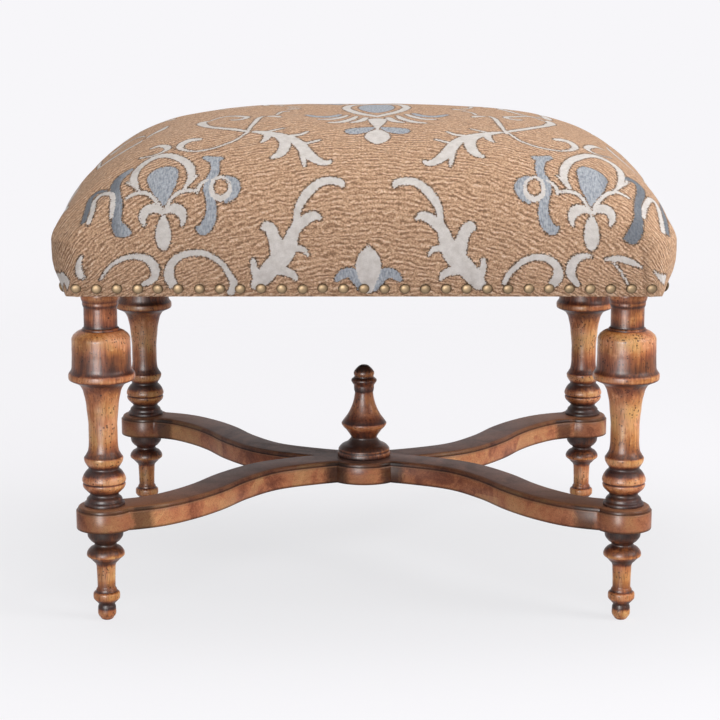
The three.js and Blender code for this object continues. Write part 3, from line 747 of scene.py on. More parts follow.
def figured_cloth(name, seat):
    """Cotton jacquard with a puckered, ribbed ground and smooth woven motifs.

    The ground shows wavy ribs that droop towards the ends, with painted shade in their broken
    furrows and a painted highlight on their crests. The motifs lie flat and matt, and a ragged
    line of painted shade runs round each of them, where the ground puckers. The threads are
    drawn about twice as coarse as real ones, so that they show.
    """
    material, node = new_material(name)
    cloth = node("Attribute", attribute_name="cloth").outputs["Vector"]
    white_far = node("Attribute", attribute_name="white").outputs["Fac"]
    blue_far = node("Attribute", attribute_name="blue").outputs["Fac"]
    split = node("SeparateXYZ", [cloth])
    out_from_middle = node("Math", [split.outputs["X"]], operation="ABSOLUTE")
    square = node("Math", [out_from_middle, 2], operation="POWER")
    bowed = node("Math", [square, RIB_BOW], operation="DIVIDE")
    in_reach = node("Math", [out_from_middle, RIB_DROOP_END], operation="MINIMUM")
    straight = node("Math", [in_reach, 0.5], operation="MULTIPLY")
    droop = node("Math", [bowed, straight], operation="MINIMUM")
    across = node("Math", [split.outputs["Y"], droop])
    wander = node("TexNoise", {"Vector": cloth, "Scale": 1 / RIB_WANDER, "Detail": 2})
    long_cells = node("Mapping", {"Vector": cloth, "Scale": (0.62, 1, 1)})
    ripple = node("TexNoise", {
        "Vector": long_cells, "Scale": 1 / RIB_RIPPLE, "Detail": 3, "Roughness": 0.6,
    })
    straight_count = node("Math", [across, seat.rib_pitch], operation="DIVIDE")
    drifting_count = node("Math", [wander, 3, straight_count], operation="MULTIPLY_ADD")
    count = node("Math", [ripple, 1.2, drifting_count], operation="MULTIPLY_ADD")
    turn = node("Math", [count, 2 * math.pi], operation="MULTIPLY")
    wave = node("Math", [turn], operation="SINE")
    crest = node("MapRange", [wave, -1, 1, 0, 1])
    rib = node("MapRange", [crest, 0, 1, -0.6, 0.4])
    patchy = node("TexNoise", {"Vector": long_cells, "Scale": 1 / RIB_BREAK, "Detail": 3, "Roughness": 0.6})
    strength = node("MapRange", [patchy, 0.4, 0.6, 0.03, 0.32])
    broken_rib = node("Math", [rib, strength], operation="MULTIPLY")
    short_cells = node("Mapping", {"Vector": cloth, "Scale": (0.75, 1, 1)})
    lumps = node("TexNoise", {
        "Vector": short_cells, "Scale": 1 / GROUND_LUMP, "Detail": 5, "Roughness": 0.75,
    })
    grain = node("TexNoise", {"Vector": cloth, "Scale": 1 / GROUND_GRAIN, "Detail": 2, "Roughness": 0.7})
    grained = node("Math", [grain, 0.7, broken_rib], operation="MULTIPLY_ADD")
    relief = node("Math", [lumps, 0.6, grained], operation="MULTIPLY_ADD")
    # The ground's colour follows its relief: painted shade in the furrows and a painted highlight on the rib
    # crests, over random grain and lumps.
    ground = node("ValToRGB", [relief], stops=[
        (0.44, opaque(0x8F6E56)),
        (0.57, (*seat.furrow_shade, 1)),
        (0.7, (*seat.ground, 1)),
        (0.88, opaque(0xF2D7BE)),
    ])
    threads = node("TexVoronoi", {"Vector": cloth, "Scale": 1 / THREAD, "Randomness": 0.45})
    fuzz = node("TexNoise", {"Vector": cloth, "Scale": 1 / EDGE_FUZZ, "Detail": 3})
    flecked = node("ValToRGB", [fuzz], stops=greys([(0.34, 0.78), (0.6, 1)]))
    ground_thread = node("Mix", {0: 1, 6: ground, 7: flecked}, data_type="RGBA", blend_type="MULTIPLY")
    ragged = node("MapRange", [fuzz, 0.2, 0.8, -EDGE_RAGGED, EDGE_RAGGED])
    white_edge = node("Math", [white_far, ragged])
    blue_edge = node("Math", [blue_far, ragged])
    nearest = node("Math", [white_edge, blue_edge], operation="MINIMUM")
    # A ragged, broken line of painted shade round the motifs, where the ground puckers.
    line = node("MapRange", [nearest, *MOTIF_EDGE_SHADE_FADE, 1, 0])
    gaps = node("MapRange", [grain, 0.44, 0.6, 1, 0.25])
    broken_edge_shade = node("Math", [line, gaps], operation="MULTIPLY", use_clamp=True)
    edge_shaded = node("Mix", {0: broken_edge_shade, 6: ground_thread, 7: (*seat.outline, 1)}, data_type="RGBA")
    blue_mask = node("MapRange", [blue_edge, -MOTIF_FADE, MOTIF_FADE, 1, 0])
    white_mask = node("MapRange", [white_edge, -MOTIF_FADE, MOTIF_FADE, 1, 0])
    tall_cells = node("Mapping", {"Vector": cloth, "Scale": (1, 0.3, 1)})
    strands = node("TexNoise", {"Vector": tall_cells, "Scale": 1 / BLUE_STRAND, "Detail": 3})
    pale_blue = node("ValToRGB", [strands], stops=[
        (0.32, opaque(0x8C919A)), (0.5, (*seat.blue, 1)), (0.7, opaque(0xC3C6CB)),
    ])
    end_stem = node("MapRange", [out_from_middle, *DARK_STEM_FROM, 0, 0.75])
    blue = node("Mix", {0: end_stem, 6: pale_blue, 7: opaque(0x646971)}, data_type="RGBA")
    blue_thread = node("Mix", {0: 1, 6: blue, 7: flecked}, data_type="RGBA", blend_type="MULTIPLY")
    with_blue = node("Mix", {0: blue_mask, 6: edge_shaded, 7: blue_thread}, data_type="RGBA")
    clouds = node("TexNoise", {"Vector": cloth, "Scale": 1 / WHITE_CLOUD, "Detail": 4})
    white = node("ValToRGB", [clouds], stops=[(0.36, opaque(0xD8D0CA)), (0.62, (*seat.white, 1))])
    twill = node("ValToRGB", [threads], stops=greys([(0.1, 1), (0.7, 0.84)]))
    white_thread = node("Mix", {0: 1, 6: white, 7: twill}, data_type="RGBA", blend_type="MULTIPLY")
    with_white = node("Mix", {0: white_mask, 6: with_blue, 7: white_thread}, data_type="RGBA")
    motif = node("Math", [blue_mask, white_mask], operation="MAXIMUM")
    depth = node("MapRange", [motif, 0, 1, 1, 0.2])
    pucker = node("Math", [relief, depth], operation="MULTIPLY")
    level = node("Math", [motif, 0.4, pucker], operation="MULTIPLY_ADD")
    woven = node("Math", [threads, -0.12, level], operation="MULTIPLY_ADD")
    bump = node("Bump", {"Height": woven, "Strength": 0.55, "Distance": 1.2 * MM})
    shader = node("BsdfPrincipled", {
        "Base Color": with_white,
        "Roughness": 0.88,
        "Specular IOR Level": 0.05,
        "Sheen Weight": 0.08,
        "Sheen Roughness": 0.5,
        "Normal": bump,
    })
    node("OutputMaterial", [shader])
    return material


def woven_jute(name, thread, light, dark):
    """Plain-woven jute: coarse tan threads with gaps of shadow between them."""
    material, node = new_material(name)
    place = node("TexCoord").outputs["Object"]
    bands = {"Vector": place, "Scale": 1 / thread / 2 / math.pi, "Distortion": 1.5, "Detail": 2}
    warp = node("TexWave", bands, bands_direction="X").outputs["Fac"]
    weft = node("TexWave", bands, bands_direction="Y").outputs["Fac"]
    weave = node("Math", [warp, weft], operation="MULTIPLY")
    colour = node("ValToRGB", [weave], stops=[(0, opaque(dark)), (0.5, opaque(light))])
    bump = node("Bump", {"Height": weave, "Strength": 0.6, "Distance": thread / 2})
    shader = node("BsdfPrincipled", {"Base Color": colour, "Roughness": 0.95, "Normal": bump})
    node("OutputMaterial", [shader])
    return material


def cellular(name, cell, light, dark, roughness):
    """Soft filling, such as foam or wadding: matt, with the small pits of its cells or fibres."""
    material, node = new_material(name)
    place = node("TexCoord").outputs["Object"]
    cells = node("TexVoronoi", {"Vector": place, "Scale": 1 / cell})
    colour = node("ValToRGB", [cells], stops=[(0.1, opaque(light)), (0.8, opaque(dark))])
    bump = node("Bump", {"Height": cells, "Strength": 0.5, "Distance": cell / 2})
    shader = node("BsdfPrincipled", {"Base Color": colour, "Roughness": roughness, "Normal": bump})
    node("OutputMaterial", [shader])
    return material


def antique_brass(name, seat):
    """Stamped brass with mottled tarnish, painted darker at the rim as shade and lighter on the crown as a
    highlight.
    """
    material, node = new_material(name)
    place = node("TexCoord").outputs["Object"]
    crown = node("Attribute", attribute_name="crown").outputs["Fac"]
    tarnish = node("TexNoise", {"Vector": place, "Scale": 1 / TARNISH, "Detail": 4})
    # Painted shade at the rim and a painted highlight on the crown, by the height over the head, over real
    # tarnish.
    start = node("Math", [crown, 0.45], operation="SUBTRACT")
    clear = node("Math", [tarnish, 0.9, start], operation="MULTIPLY_ADD")
    colour = node("ValToRGB", [clear], stops=[
        (0.1, opaque(0x433528)), (0.5, opaque(0x635340)), (1, (*seat.brass, 1)),
    ])
    roughness = node("MapRange", [clear, 0, 1, 0.72, 0.6])
    bump = node("Bump", {"Height": tarnish, "Strength": 0.15, "Distance": 0.3 * MM})
    shader = node("BsdfPrincipled", {
        "Base Color": colour, "Metallic": 1, "Roughness": roughness, "Normal": bump,
    })
    node("OutputMaterial", [shader])
    return material


def zinc_steel(name):
    """Zinc-plated steel: pale grey, with a faint mottled bloom."""
    material, node = new_material(name)
    place = node("TexCoord").outputs["Object"]
    bloom = node("TexNoise", {"Vector": place, "Scale": 1 / ZINC_BLOOM, "Detail": 3})
    colour = node("ValToRGB", [bloom], stops=[(0.3, opaque(0xA5A39B)), (0.7, opaque(0xC9C7C0))])
    shader = node("BsdfPrincipled", {"Base Color": colour, "Metallic": 1, "Roughness": 0.35})
    node("OutputMaterial", [shader])
    return material


def mesh_object(name, points, faces, material, smooth_angle=None):
    """A mesh object with one material, shaded smooth, with sharp edges above an angle."""
    mesh = bpy.data.meshes.new(name)
    mesh.from_pydata([tuple(point) for point in points], [], faces)
    mesh.update()
    piece = bpy.data.objects.new(name, mesh)
    bpy.context.scene.collection.objects.link(piece)
    mesh.polygons.foreach_set("use_smooth", [True] * len(mesh.polygons))
    if smooth_angle is not None:
        mesh.set_sharp_from_angle(angle=smooth_angle)
    mesh.materials.append(material)
    return piece


def point_values(piece, name, values, kind="FLOAT"):
    """Stores one value or vector for each point of a mesh."""
    stored = piece.data.attributes.new(name, kind, "POINT")
    key = "value" if kind == "FLOAT" else "vector"
    stored.data.foreach_set(key, np.asarray(values, np.float32).ravel())


def finished(piece, slot, *nodes):
    """The piece rides on the one body and stands for its frame pieces; its slot is not used."""
    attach(piece, "root")
    if nodes:
        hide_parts(*nodes)
    return piece


def mixed(a, b, start, end, t):
    """Between two values, by where t lies from start to end."""
    return (end - t) / (end - start) * a + (t - start) / (end - start) * b


def spline(points, step):
    """Points at an even step along a smooth centripetal curve through the given ones."""
    points = np.asarray(points, float)
    ends = [2 * points[0] - points[1], *points, 2 * points[-1] - points[-2]]
    fine = []
    for p0, p1, p2, p3 in zip(ends, ends[1:], ends[2:], ends[3:]):
        chords = [np.linalg.norm(b - a) for a, b in ((p0, p1), (p1, p2), (p2, p3))]
        t0, t1, t2, t3 = np.cumsum([0, *[max(chord, TINY) ** 0.5 for chord in chords]])
        t = np.linspace(t1, t2, SPLINE_POINTS, endpoint=False)[:, None]
        a1 = mixed(p0, p1, t0, t1, t)
        a2 = mixed(p1, p2, t1, t2, t)
        a3 = mixed(p2, p3, t2, t3, t)
        b1 = mixed(a1, a2, t0, t2, t)
        b2 = mixed(a2, a3, t1, t3, t)
        fine.extend(mixed(b1, b2, t1, t2, t))
    fine.append(points[-1])
    return evenly(np.array(fine), step)


def evenly(points, step):
    """The same line with points at an even step along it."""
    lengths = np.concatenate([[0], np.cumsum(np.linalg.norm(np.diff(points[:, :2], axis=0), axis=1))])
    count = max(int(round(lengths[-1] / step)), 1)
    places = np.linspace(0, lengths[-1], count + 1)
    return np.column_stack([np.interp(places, lengths, column) for column in points.T])


def turned_outline(rows, height, radius):
    """Outline of a turned piece: radius, height and glaze, with beads, coves and eased arrises."""
    line = []
    last = None
    for height_share, radius_share, bow, glaze in rows:
        here = np.array([radius_share * radius, height_share * height, glaze])
        if last is None:
            line.append(here)
        else:
            chord = here - last
            pull = (here + last) / 2 + 2 * bow * np.array([chord[1], -chord[0], 0])
            for t in np.linspace(0, 1, BOW_POINTS + 1)[1:]:
                line.append((1 - t) ** 2 * last + 2 * t * (1 - t) * pull + t ** 2 * here)
        last = here
    fine = evenly(np.array(line), TURNING_STEP / 2)
    eased = fine.copy()
    eased[1:-1] = 0.25 * fine[:-2] + 0.5 * fine[1:-1] + 0.25 * fine[2:]
    return evenly(eased, TURNING_STEP)


def circle(sides):
    """Unit points evenly round a circle."""
    angles = np.arange(sides) / sides * 2 * math.pi
    return np.column_stack([np.cos(angles), np.sin(angles)])


def ring_faces(count, levels, first=0):
    """Quads between successive rings of equal count."""
    faces = []
    around = np.arange(count)
    after = (around + 1) % count
    for level in range(levels - 1):
        low, high = first + level * count, first + (level + 1) * count
        faces.extend(np.column_stack([low + around, low + after, high + after, high + around]).tolist())
    return faces


def fan_faces(count, first, tip):
    """Triangles between a ring and one point."""
    return [[first + i, first + (i + 1) % count, tip] for i in range(count)]


def turned_piece(name, outline, middle, base, material):
    """Spins an outline of (radius, height, glaze) round an upright axis; ends on the axis close it."""
    points = []
    glazes = []
    rings = []
    for radius, height, glaze in outline:
        first = len(points)
        if radius < TINY:
            points.append((*middle, base + height))
            rings.append([first] * TURNING_SIDES)
        else:
            points.extend((x, y, base + height) for x, y in radius * circle(TURNING_SIDES) + middle)
            rings.append(list(range(first, first + TURNING_SIDES)))
        glazes.extend([glaze] * (len(points) - first))
    faces = []
    for low, high in zip(rings, rings[1:]):
        for i in range(TURNING_SIDES):
            j = (i + 1) % TURNING_SIDES
            face = [low[i], low[j], high[j], high[i]]
            faces.append([index for k, index in enumerate(face) if index not in face[:k]])
    piece = mesh_object(name, points, faces, material, TURNING_CREASE)
    point_values(piece, "glaze", glazes)
    return piece


def boxed(name, low, high, material):
    """A plain block, for joining."""
    x, y, z = zip(low, high)
    points = [(x[i], y[j], z[k]) for i in (0, 1) for j in (0, 1) for k in (0, 1)]
    faces = [(0, 1, 3, 2), (4, 6, 7, 5), (0, 4, 5, 1), (2, 3, 7, 6), (0, 2, 6, 4), (1, 5, 7, 3)]
    return mesh_object(name, points, faces, material)


def combined(piece, other, operation):
    """Joins another closed mesh to this one, or cuts with it, and deletes the other."""
    modifier = piece.modifiers.new("combine", "BOOLEAN")
    modifier.operation = operation
    modifier.solver = "MANIFOLD"
    modifier.object = other
    bpy.context.view_layer.update()
    result = bpy.data.meshes.new_from_object(piece.evaluated_get(bpy.context.evaluated_depsgraph_get()))
    piece.modifiers.clear()
    old = piece.data
    piece.data = result
    bpy.data.meshes.remove(old)
    bpy.data.objects.remove(other)
    if not len(result.polygons):
        raise RuntimeError(f"{piece.name} is empty after {operation}")
    return piece


def ring_slab(name, ring_at, levels, material):
    """A closed slab over rings of equal count: ring_at(inset) gives each ring's plan."""
    points = [(x, y, height) for inset, height in levels for x, y in ring_at(inset)]
    count = len(points) // len(levels)
    faces = ring_faces(count, len(levels))
    faces.append(list(reversed(range(count))))
    faces.append(list(range(len(points) - count, len(points))))
    return mesh_object(name, points, faces, material)


def on_tenon(outline, floor):
    """The outline of a turned piece that stands on a round tenon down to a floor level."""
    tenon = [(0, floor, 1), (TENON_RADIUS, floor, 1), (TENON_RADIUS, -GAP, 1)]
    return [*tenon, (outline[0][0] * SHOULDER_SHARE, 0, 1), *outline]


class STOOL_OT_legs(bpy.types.Operator):
    """Four turned legs with square heads inside the seat and tenons through the stretcher"""

    bl_idname = "stool.legs"
    bl_label = "Legs"

    def execute(self, context):
        material = turned_walnut("glazed_turned_walnut", context.scene.stool_wood)
        base = BOARD_TOP + GAP
        outline = turned_outline(LEG_SHARES, SEAT_FLOOR - base, BELL_RADIUS)
        end = POST_FLOOR + OVERRUN - base
        whole = [*on_tenon(outline, TENON_FLOOR - base), (outline[-1][0], end, 1), (0, end, 1)]
        for corner, (side_x, side_y) in CORNERS.items():
            x, y = side_x * LEG_X, side_y * LEG_Y
            leg = turned_piece(f"turned_leg_{corner}", whole, (x, y), base, material)
            low = (x - HEAD_HALF_WIDTH, y - HEAD_HALF_WIDTH, POST_FLOOR)
            high = (x + HEAD_HALF_WIDTH, y + HEAD_HALF_WIDTH, POST_TOP)
            head = boxed(f"leg_head_{corner}", low, high, material)
            point_values(head, "glaze", [HEAD_GLAZE] * len(head.data.vertices))
            finished(leg, "leg_wood", f"leg_{corner}")
            finished(head, "leg_wood")
        return {"FINISHED"}


class STOOL_OT_feet(bpy.types.Operator):
    """Four turned feet under the stretcher's pads"""

    bl_idname = "stool.feet"
    bl_label = "Feet"

    def execute(self, context):
        material = bpy.data.materials["glazed_turned_walnut"]
        outline = turned_outline(FOOT_SHARES, FOOT_TOP, DISC_RADIUS)
        whole = [(0, 0, SOLE_GLAZE), *outline, (0, FOOT_TOP, 1)]
        for corner, (side_x, side_y) in CORNERS.items():
            foot = turned_piece(f"turned_foot_{corner}", whole, (side_x * LEG_X, side_y * LEG_Y), 0, material)
            finished(foot, "leg_wood", f"foot_{corner}")
        return {"FINISHED"}


class STOOL_OT_finial(bpy.types.Operator):
    """Turned finial over the crossing of the stretcher"""

    bl_idname = "stool.finial"
    bl_label = "Finial"

    def execute(self, context):
        material = bpy.data.materials["glazed_turned_walnut"]
        base = BOARD_TOP + GAP
        outline = turned_outline(FINIAL_SHARES, FINIAL_TOP - base, FINIAL_RADIUS)
        whole = on_tenon(outline, FINIAL_FLOOR - base)
        finial = turned_piece("turned_finial", whole, (0, 0), base, material)
        finished(finial, "leg_wood", "finial")
        return {"FINISHED"}


def arm_plan(mirror):
    """Middle line of one member from pad to pad, and the unit normals along it."""
    outward = [np.array([x * LEG_X * mirror, y * LEG_Y]) for x, y in ARM_SHARES]
    line = [-point for point in reversed(outward)] + [np.zeros(2)] + outward
    middle = spline(line, 2 * math.hypot(LEG_X, LEG_Y) / ARM_STEPS)
    tangent = np.gradient(middle, axis=0)
    tangent /= np.linalg.norm(tangent, axis=1)[:, None]
    return middle, np.column_stack([-tangent[:, 1], tangent[:, 0]])


def boss_corners():
    """Inner corners in which the arms' two edges leave the boss, without their signs."""
    middle, normal = arm_plan(1)
    corners = []
    for side in (-1, 1):
        edge = middle + normal * side * ARM_HALF_WIDTH
        outward = edge[len(edge) // 2:]
        nearest = np.argmin(np.abs(np.linalg.norm(outward, axis=1) - BOSS_RADIUS))
        corners.append(np.abs(outward[nearest]))
    return corners


def member(name, levels, mirror, material):
    """One stretcher member: a serpentine arm with round pads at its ends and a boss in the middle."""
    middle, normal = arm_plan(mirror)

    def arm(inset):
        half = ARM_HALF_WIDTH - inset
        return [*(middle - normal * half), *(middle + normal * half)[::-1]]

    def disc(radius, x, y):
        return lambda inset: (radius - inset) * circle(DISC_SIDES) + (x, y)

    body = ring_slab(name, arm, levels, material)
    places = [(BOSS_RADIUS, 0, 0), (PAD_RADIUS, mirror * LEG_X, LEG_Y), (PAD_RADIUS, -mirror * LEG_X, -LEG_Y)]
    for radius, x, y in places:
        combined(body, ring_slab("disc", disc(radius, x, y), levels, material), "UNION")
    return body


class STOOL_OT_stretcher(bpy.types.Operator):
    """Crossed stretcher of two moulded serpentine members, halved into each other"""

    bl_idname = "stool.stretcher"
    bl_label = "Stretcher"

    def execute(self, context):
        material = board_walnut("burl_walnut_board", context.scene.stool_wood)
        moulded = [(inset, BOARD_TOP - depth) for inset, depth in EDGE_SECTION]
        half = (BOARD_FLOOR + BOARD_TOP) / 2
        whole = [(0, BOARD_FLOOR - OVERRUN), (0, BOARD_TOP + OVERRUN)]
        above = [(-LAP_GAP, half - LAP_GAP / 2), (-LAP_GAP, BOARD_TOP + OVERRUN)]
        below = [(-LAP_GAP, BOARD_FLOOR - OVERRUN), (-LAP_GAP, half + LAP_GAP / 2)]
        lower = member("stretcher_member_lower", moulded, 1, material)
        filling = member("filling", moulded, 1, material)
        combined(filling, member("bound", whole, -1, material), "INTERSECT")
        combined(lower, member("upper_lap", above, -1, material), "DIFFERENCE")
        upper = member("stretcher_member_upper", moulded, -1, material)
        combined(upper, filling, "UNION")
        combined(upper, member("lower_lap", below, 1, material), "DIFFERENCE")
        for piece, node in ((lower, "stretcher_lower"), (upper, "stretcher_upper")):
            piece.data.polygons.foreach_set("use_smooth", [True] * len(piece.data.polygons))
            piece.data.set_sharp_from_angle(angle=BOARD_CREASE)
            finished(piece, "stretcher_wood", node)
        return {"FINISHED"}


class Pad:
    """The seat's padded form, drawn in by an inset, as rings from a floor level up to the crown."""

    def __init__(self, inset=0, step=CLOTH_STEP):
        self.inset = inset
        self.step = step
        self.half_width = SEAT_HALF_WIDTH - inset
        self.half_depth = SEAT_HALF_DEPTH - inset
        self.rim_height = SEAT_FLOOR + WALL_TOP
        self.rise_height = SEAT_TOP - inset - self.rim_height
        self.corner_count = max(int(SWOLLEN_CORNER * math.pi / 2 / step), 3)
        self.long_count = int(2 * (SEAT_HALF_WIDTH - SWOLLEN_CORNER) / step)
        self.short_count = int(2 * (SEAT_HALF_DEPTH - SWOLLEN_CORNER) / step)
        counts = (self.short_count, self.long_count)
        self.per_side = [counts[side % 2] for side in range(4)]
        self.count = sum(self.per_side) + 4 * self.corner_count

    def plan(self, half_width, half_depth, corner):
        """Plan points, anticlockwise from the front right corner."""
        points = []
        signs = [(1, -1), (1, 1), (-1, 1), (-1, -1)]
        for side, (sign_x, sign_y) in enumerate(signs):
            centre = np.array([sign_x * (half_width - corner), sign_y * (half_depth - corner)])
            angles = (side - 1 + np.arange(self.corner_count) / self.corner_count) * math.pi / 2
            points.append(centre + corner * np.column_stack([np.cos(angles), np.sin(angles)]))
            next_x, next_y = signs[(side + 1) % 4]
            end = np.array([next_x * (half_width - corner), next_y * (half_depth - corner)])
            outward = np.array([math.cos(side * math.pi / 2), math.sin(side * math.pi / 2)])
            shares = np.arange(self.per_side[side])[:, None] / self.per_side[side]
            points.append(centre + (end - centre) * shares + outward * corner)
        return np.vstack(points)

    def wall(self, height):
        """Plan of the padded wall at a height above the lower edge."""
        shares = np.array(WALL_SHARES)
        swell = np.interp(height / WALL_TOP, shares[:, 0], shares[:, 1])
        reach = (swell - 1) * WALL_SWELL
        corner = EDGE_CORNER + (SWOLLEN_CORNER - EDGE_CORNER) * swell - self.inset
        return self.plan(self.half_width + reach, self.half_depth + reach, max(corner, GAP))

    def rise(self, x, y):
        """Height of the dome over its rim."""
        across = 1 - np.minimum(np.abs(x) / self.half_width, 1) ** DOME_PLAN_POWERS[0]
        along = 1 - np.minimum(np.abs(y) / self.half_depth, 1) ** DOME_PLAN_POWERS[1]
        return self.rise_height * (across * along) ** DOME_SHOULDER_POWER

    def dome_shares(self):
        """Shares of the rim's plan that give the dome's rings an even step."""
        shares = 1 - np.linspace(0, 1, DOME_SAMPLES) ** 2
        x = shares * self.half_width
        z = self.rise(x, 0)
        lengths = np.concatenate([[0], np.cumsum(np.hypot(np.diff(x), np.diff(z)))])
        steps = np.linspace(0, lengths[-1], int(lengths[-1] / self.step) + 1)
        return np.interp(steps, lengths, shares)[1:-1]

    def rings(self, floor):
        """Rings of points from the floor level up to the one before the crown."""
        start = min(floor - SEAT_FLOOR, WALL_TOP)
        heights = np.linspace(start, WALL_TOP, int((WALL_TOP - start) / self.step) + 1)
        rings = []
        for height in heights:
            level = max(SEAT_FLOOR + height, floor)
            rings.append(np.column_stack([self.wall(height), np.full(self.count, level)]))
        rim = rings[-1]
        at_rim = self.rise(rim[:, 0], rim[:, 1])
        for share in self.dome_shares():
            x, y = rim[:, 0] * share, rim[:, 1] * share
            z = self.rim_height + self.rise(x, y) - at_rim * share ** DOME_RIM_POWER
            rings.append(np.column_stack([x, y, np.maximum(z, floor)]))
        return rings

    def crown(self):
        """The dome's highest point."""
        return np.array([0, 0, self.rim_height + self.rise_height])

    def skin(self, rings):
        """Points and faces over the rings up to the crown."""
        points = np.vstack([*rings, self.crown()])
        tip = len(points) - 1
        return points, ring_faces(self.count, len(rings)) + fan_faces(self.count, tip - self.count, tip)


def cloth_places(pad, rings, wall_levels):
    """Place of each point on the flat cloth, which is laid over the crown and pulled down the walls."""
    grid_x = np.linspace(0, pad.half_width, CLOTH_GRID[0])
    grid_y = np.linspace(0, pad.half_depth, CLOTH_GRID[1])
    mesh_x, mesh_y = np.meshgrid(grid_x, grid_y, indexing="ij")
    z = pad.rise(mesh_x, mesh_y)
    steps_x = np.hypot(np.diff(mesh_x, axis=0), np.diff(z, axis=0))
    steps_y = np.hypot(np.diff(mesh_y, axis=1), np.diff(z, axis=1))
    along_x = np.vstack([np.zeros(len(grid_y)), np.cumsum(steps_x, axis=0)])
    along_y = np.column_stack([np.zeros(len(grid_x)), np.cumsum(steps_y, axis=1)])

    def cell(values, grid):
        """The grid's cell in which each value lies, and how far into it."""
        place = np.clip(np.abs(values) / grid[1], 0, len(grid) - 1 - CELL_MARGIN)
        index = place.astype(int)
        return index, place - index

    def looked_up(table, ring):
        """A table's values at the places of a ring, between the four nearest ones."""
        (i, share_x), (j, share_y) = cell(ring[:, 0], grid_x), cell(ring[:, 1], grid_y)
        near = table[i, j] * (1 - share_x) + table[i + 1, j] * share_x
        far = table[i, j + 1] * (1 - share_x) + table[i + 1, j + 1] * share_x
        return near * (1 - share_y) + far * share_y

    def on_dome(ring):
        """Where a ring of the dome lies on the flat cloth."""
        reach = np.column_stack([looked_up(along_x, ring), looked_up(along_y, ring)])
        return np.sign(ring[:, :2]) * reach

    rim = rings[wall_levels - 1]
    rim_place = on_dome(rim)
    on_side = np.abs(rim[:, 0]) / pad.half_width > np.abs(rim[:, 1]) / pad.half_depth
    down = np.sign(rim[:, :2]) * np.column_stack([on_side, ~on_side])
    drops = np.zeros(pad.count)
    walls = [rim_place]
    for level in range(wall_levels - 2, -1, -1):
        drops = drops + np.linalg.norm(rings[level + 1] - rings[level], axis=1)
        walls.append(rim_place + down * drops[:, None])
    return [*reversed(walls), *[on_dome(ring) for ring in rings[wall_levels:]]]


# The pattern on the flat cloth, from the crown's middle: its own middle line, how far from
# that the motifs reach on the walls and on the crown, how deep the crown's part is, the line
# at which the pattern turns back beyond them, and how far from a stroke distances are told.
PATTERN_MIDDLE = 14 * MM
PATTERN_END = 325 * MM
CROWN_END = 252 * MM
CROWN_DEPTH = 152 * MM
PATTERN_FOLD = 218 * MM
MOTIF_REACH = 12 * MM

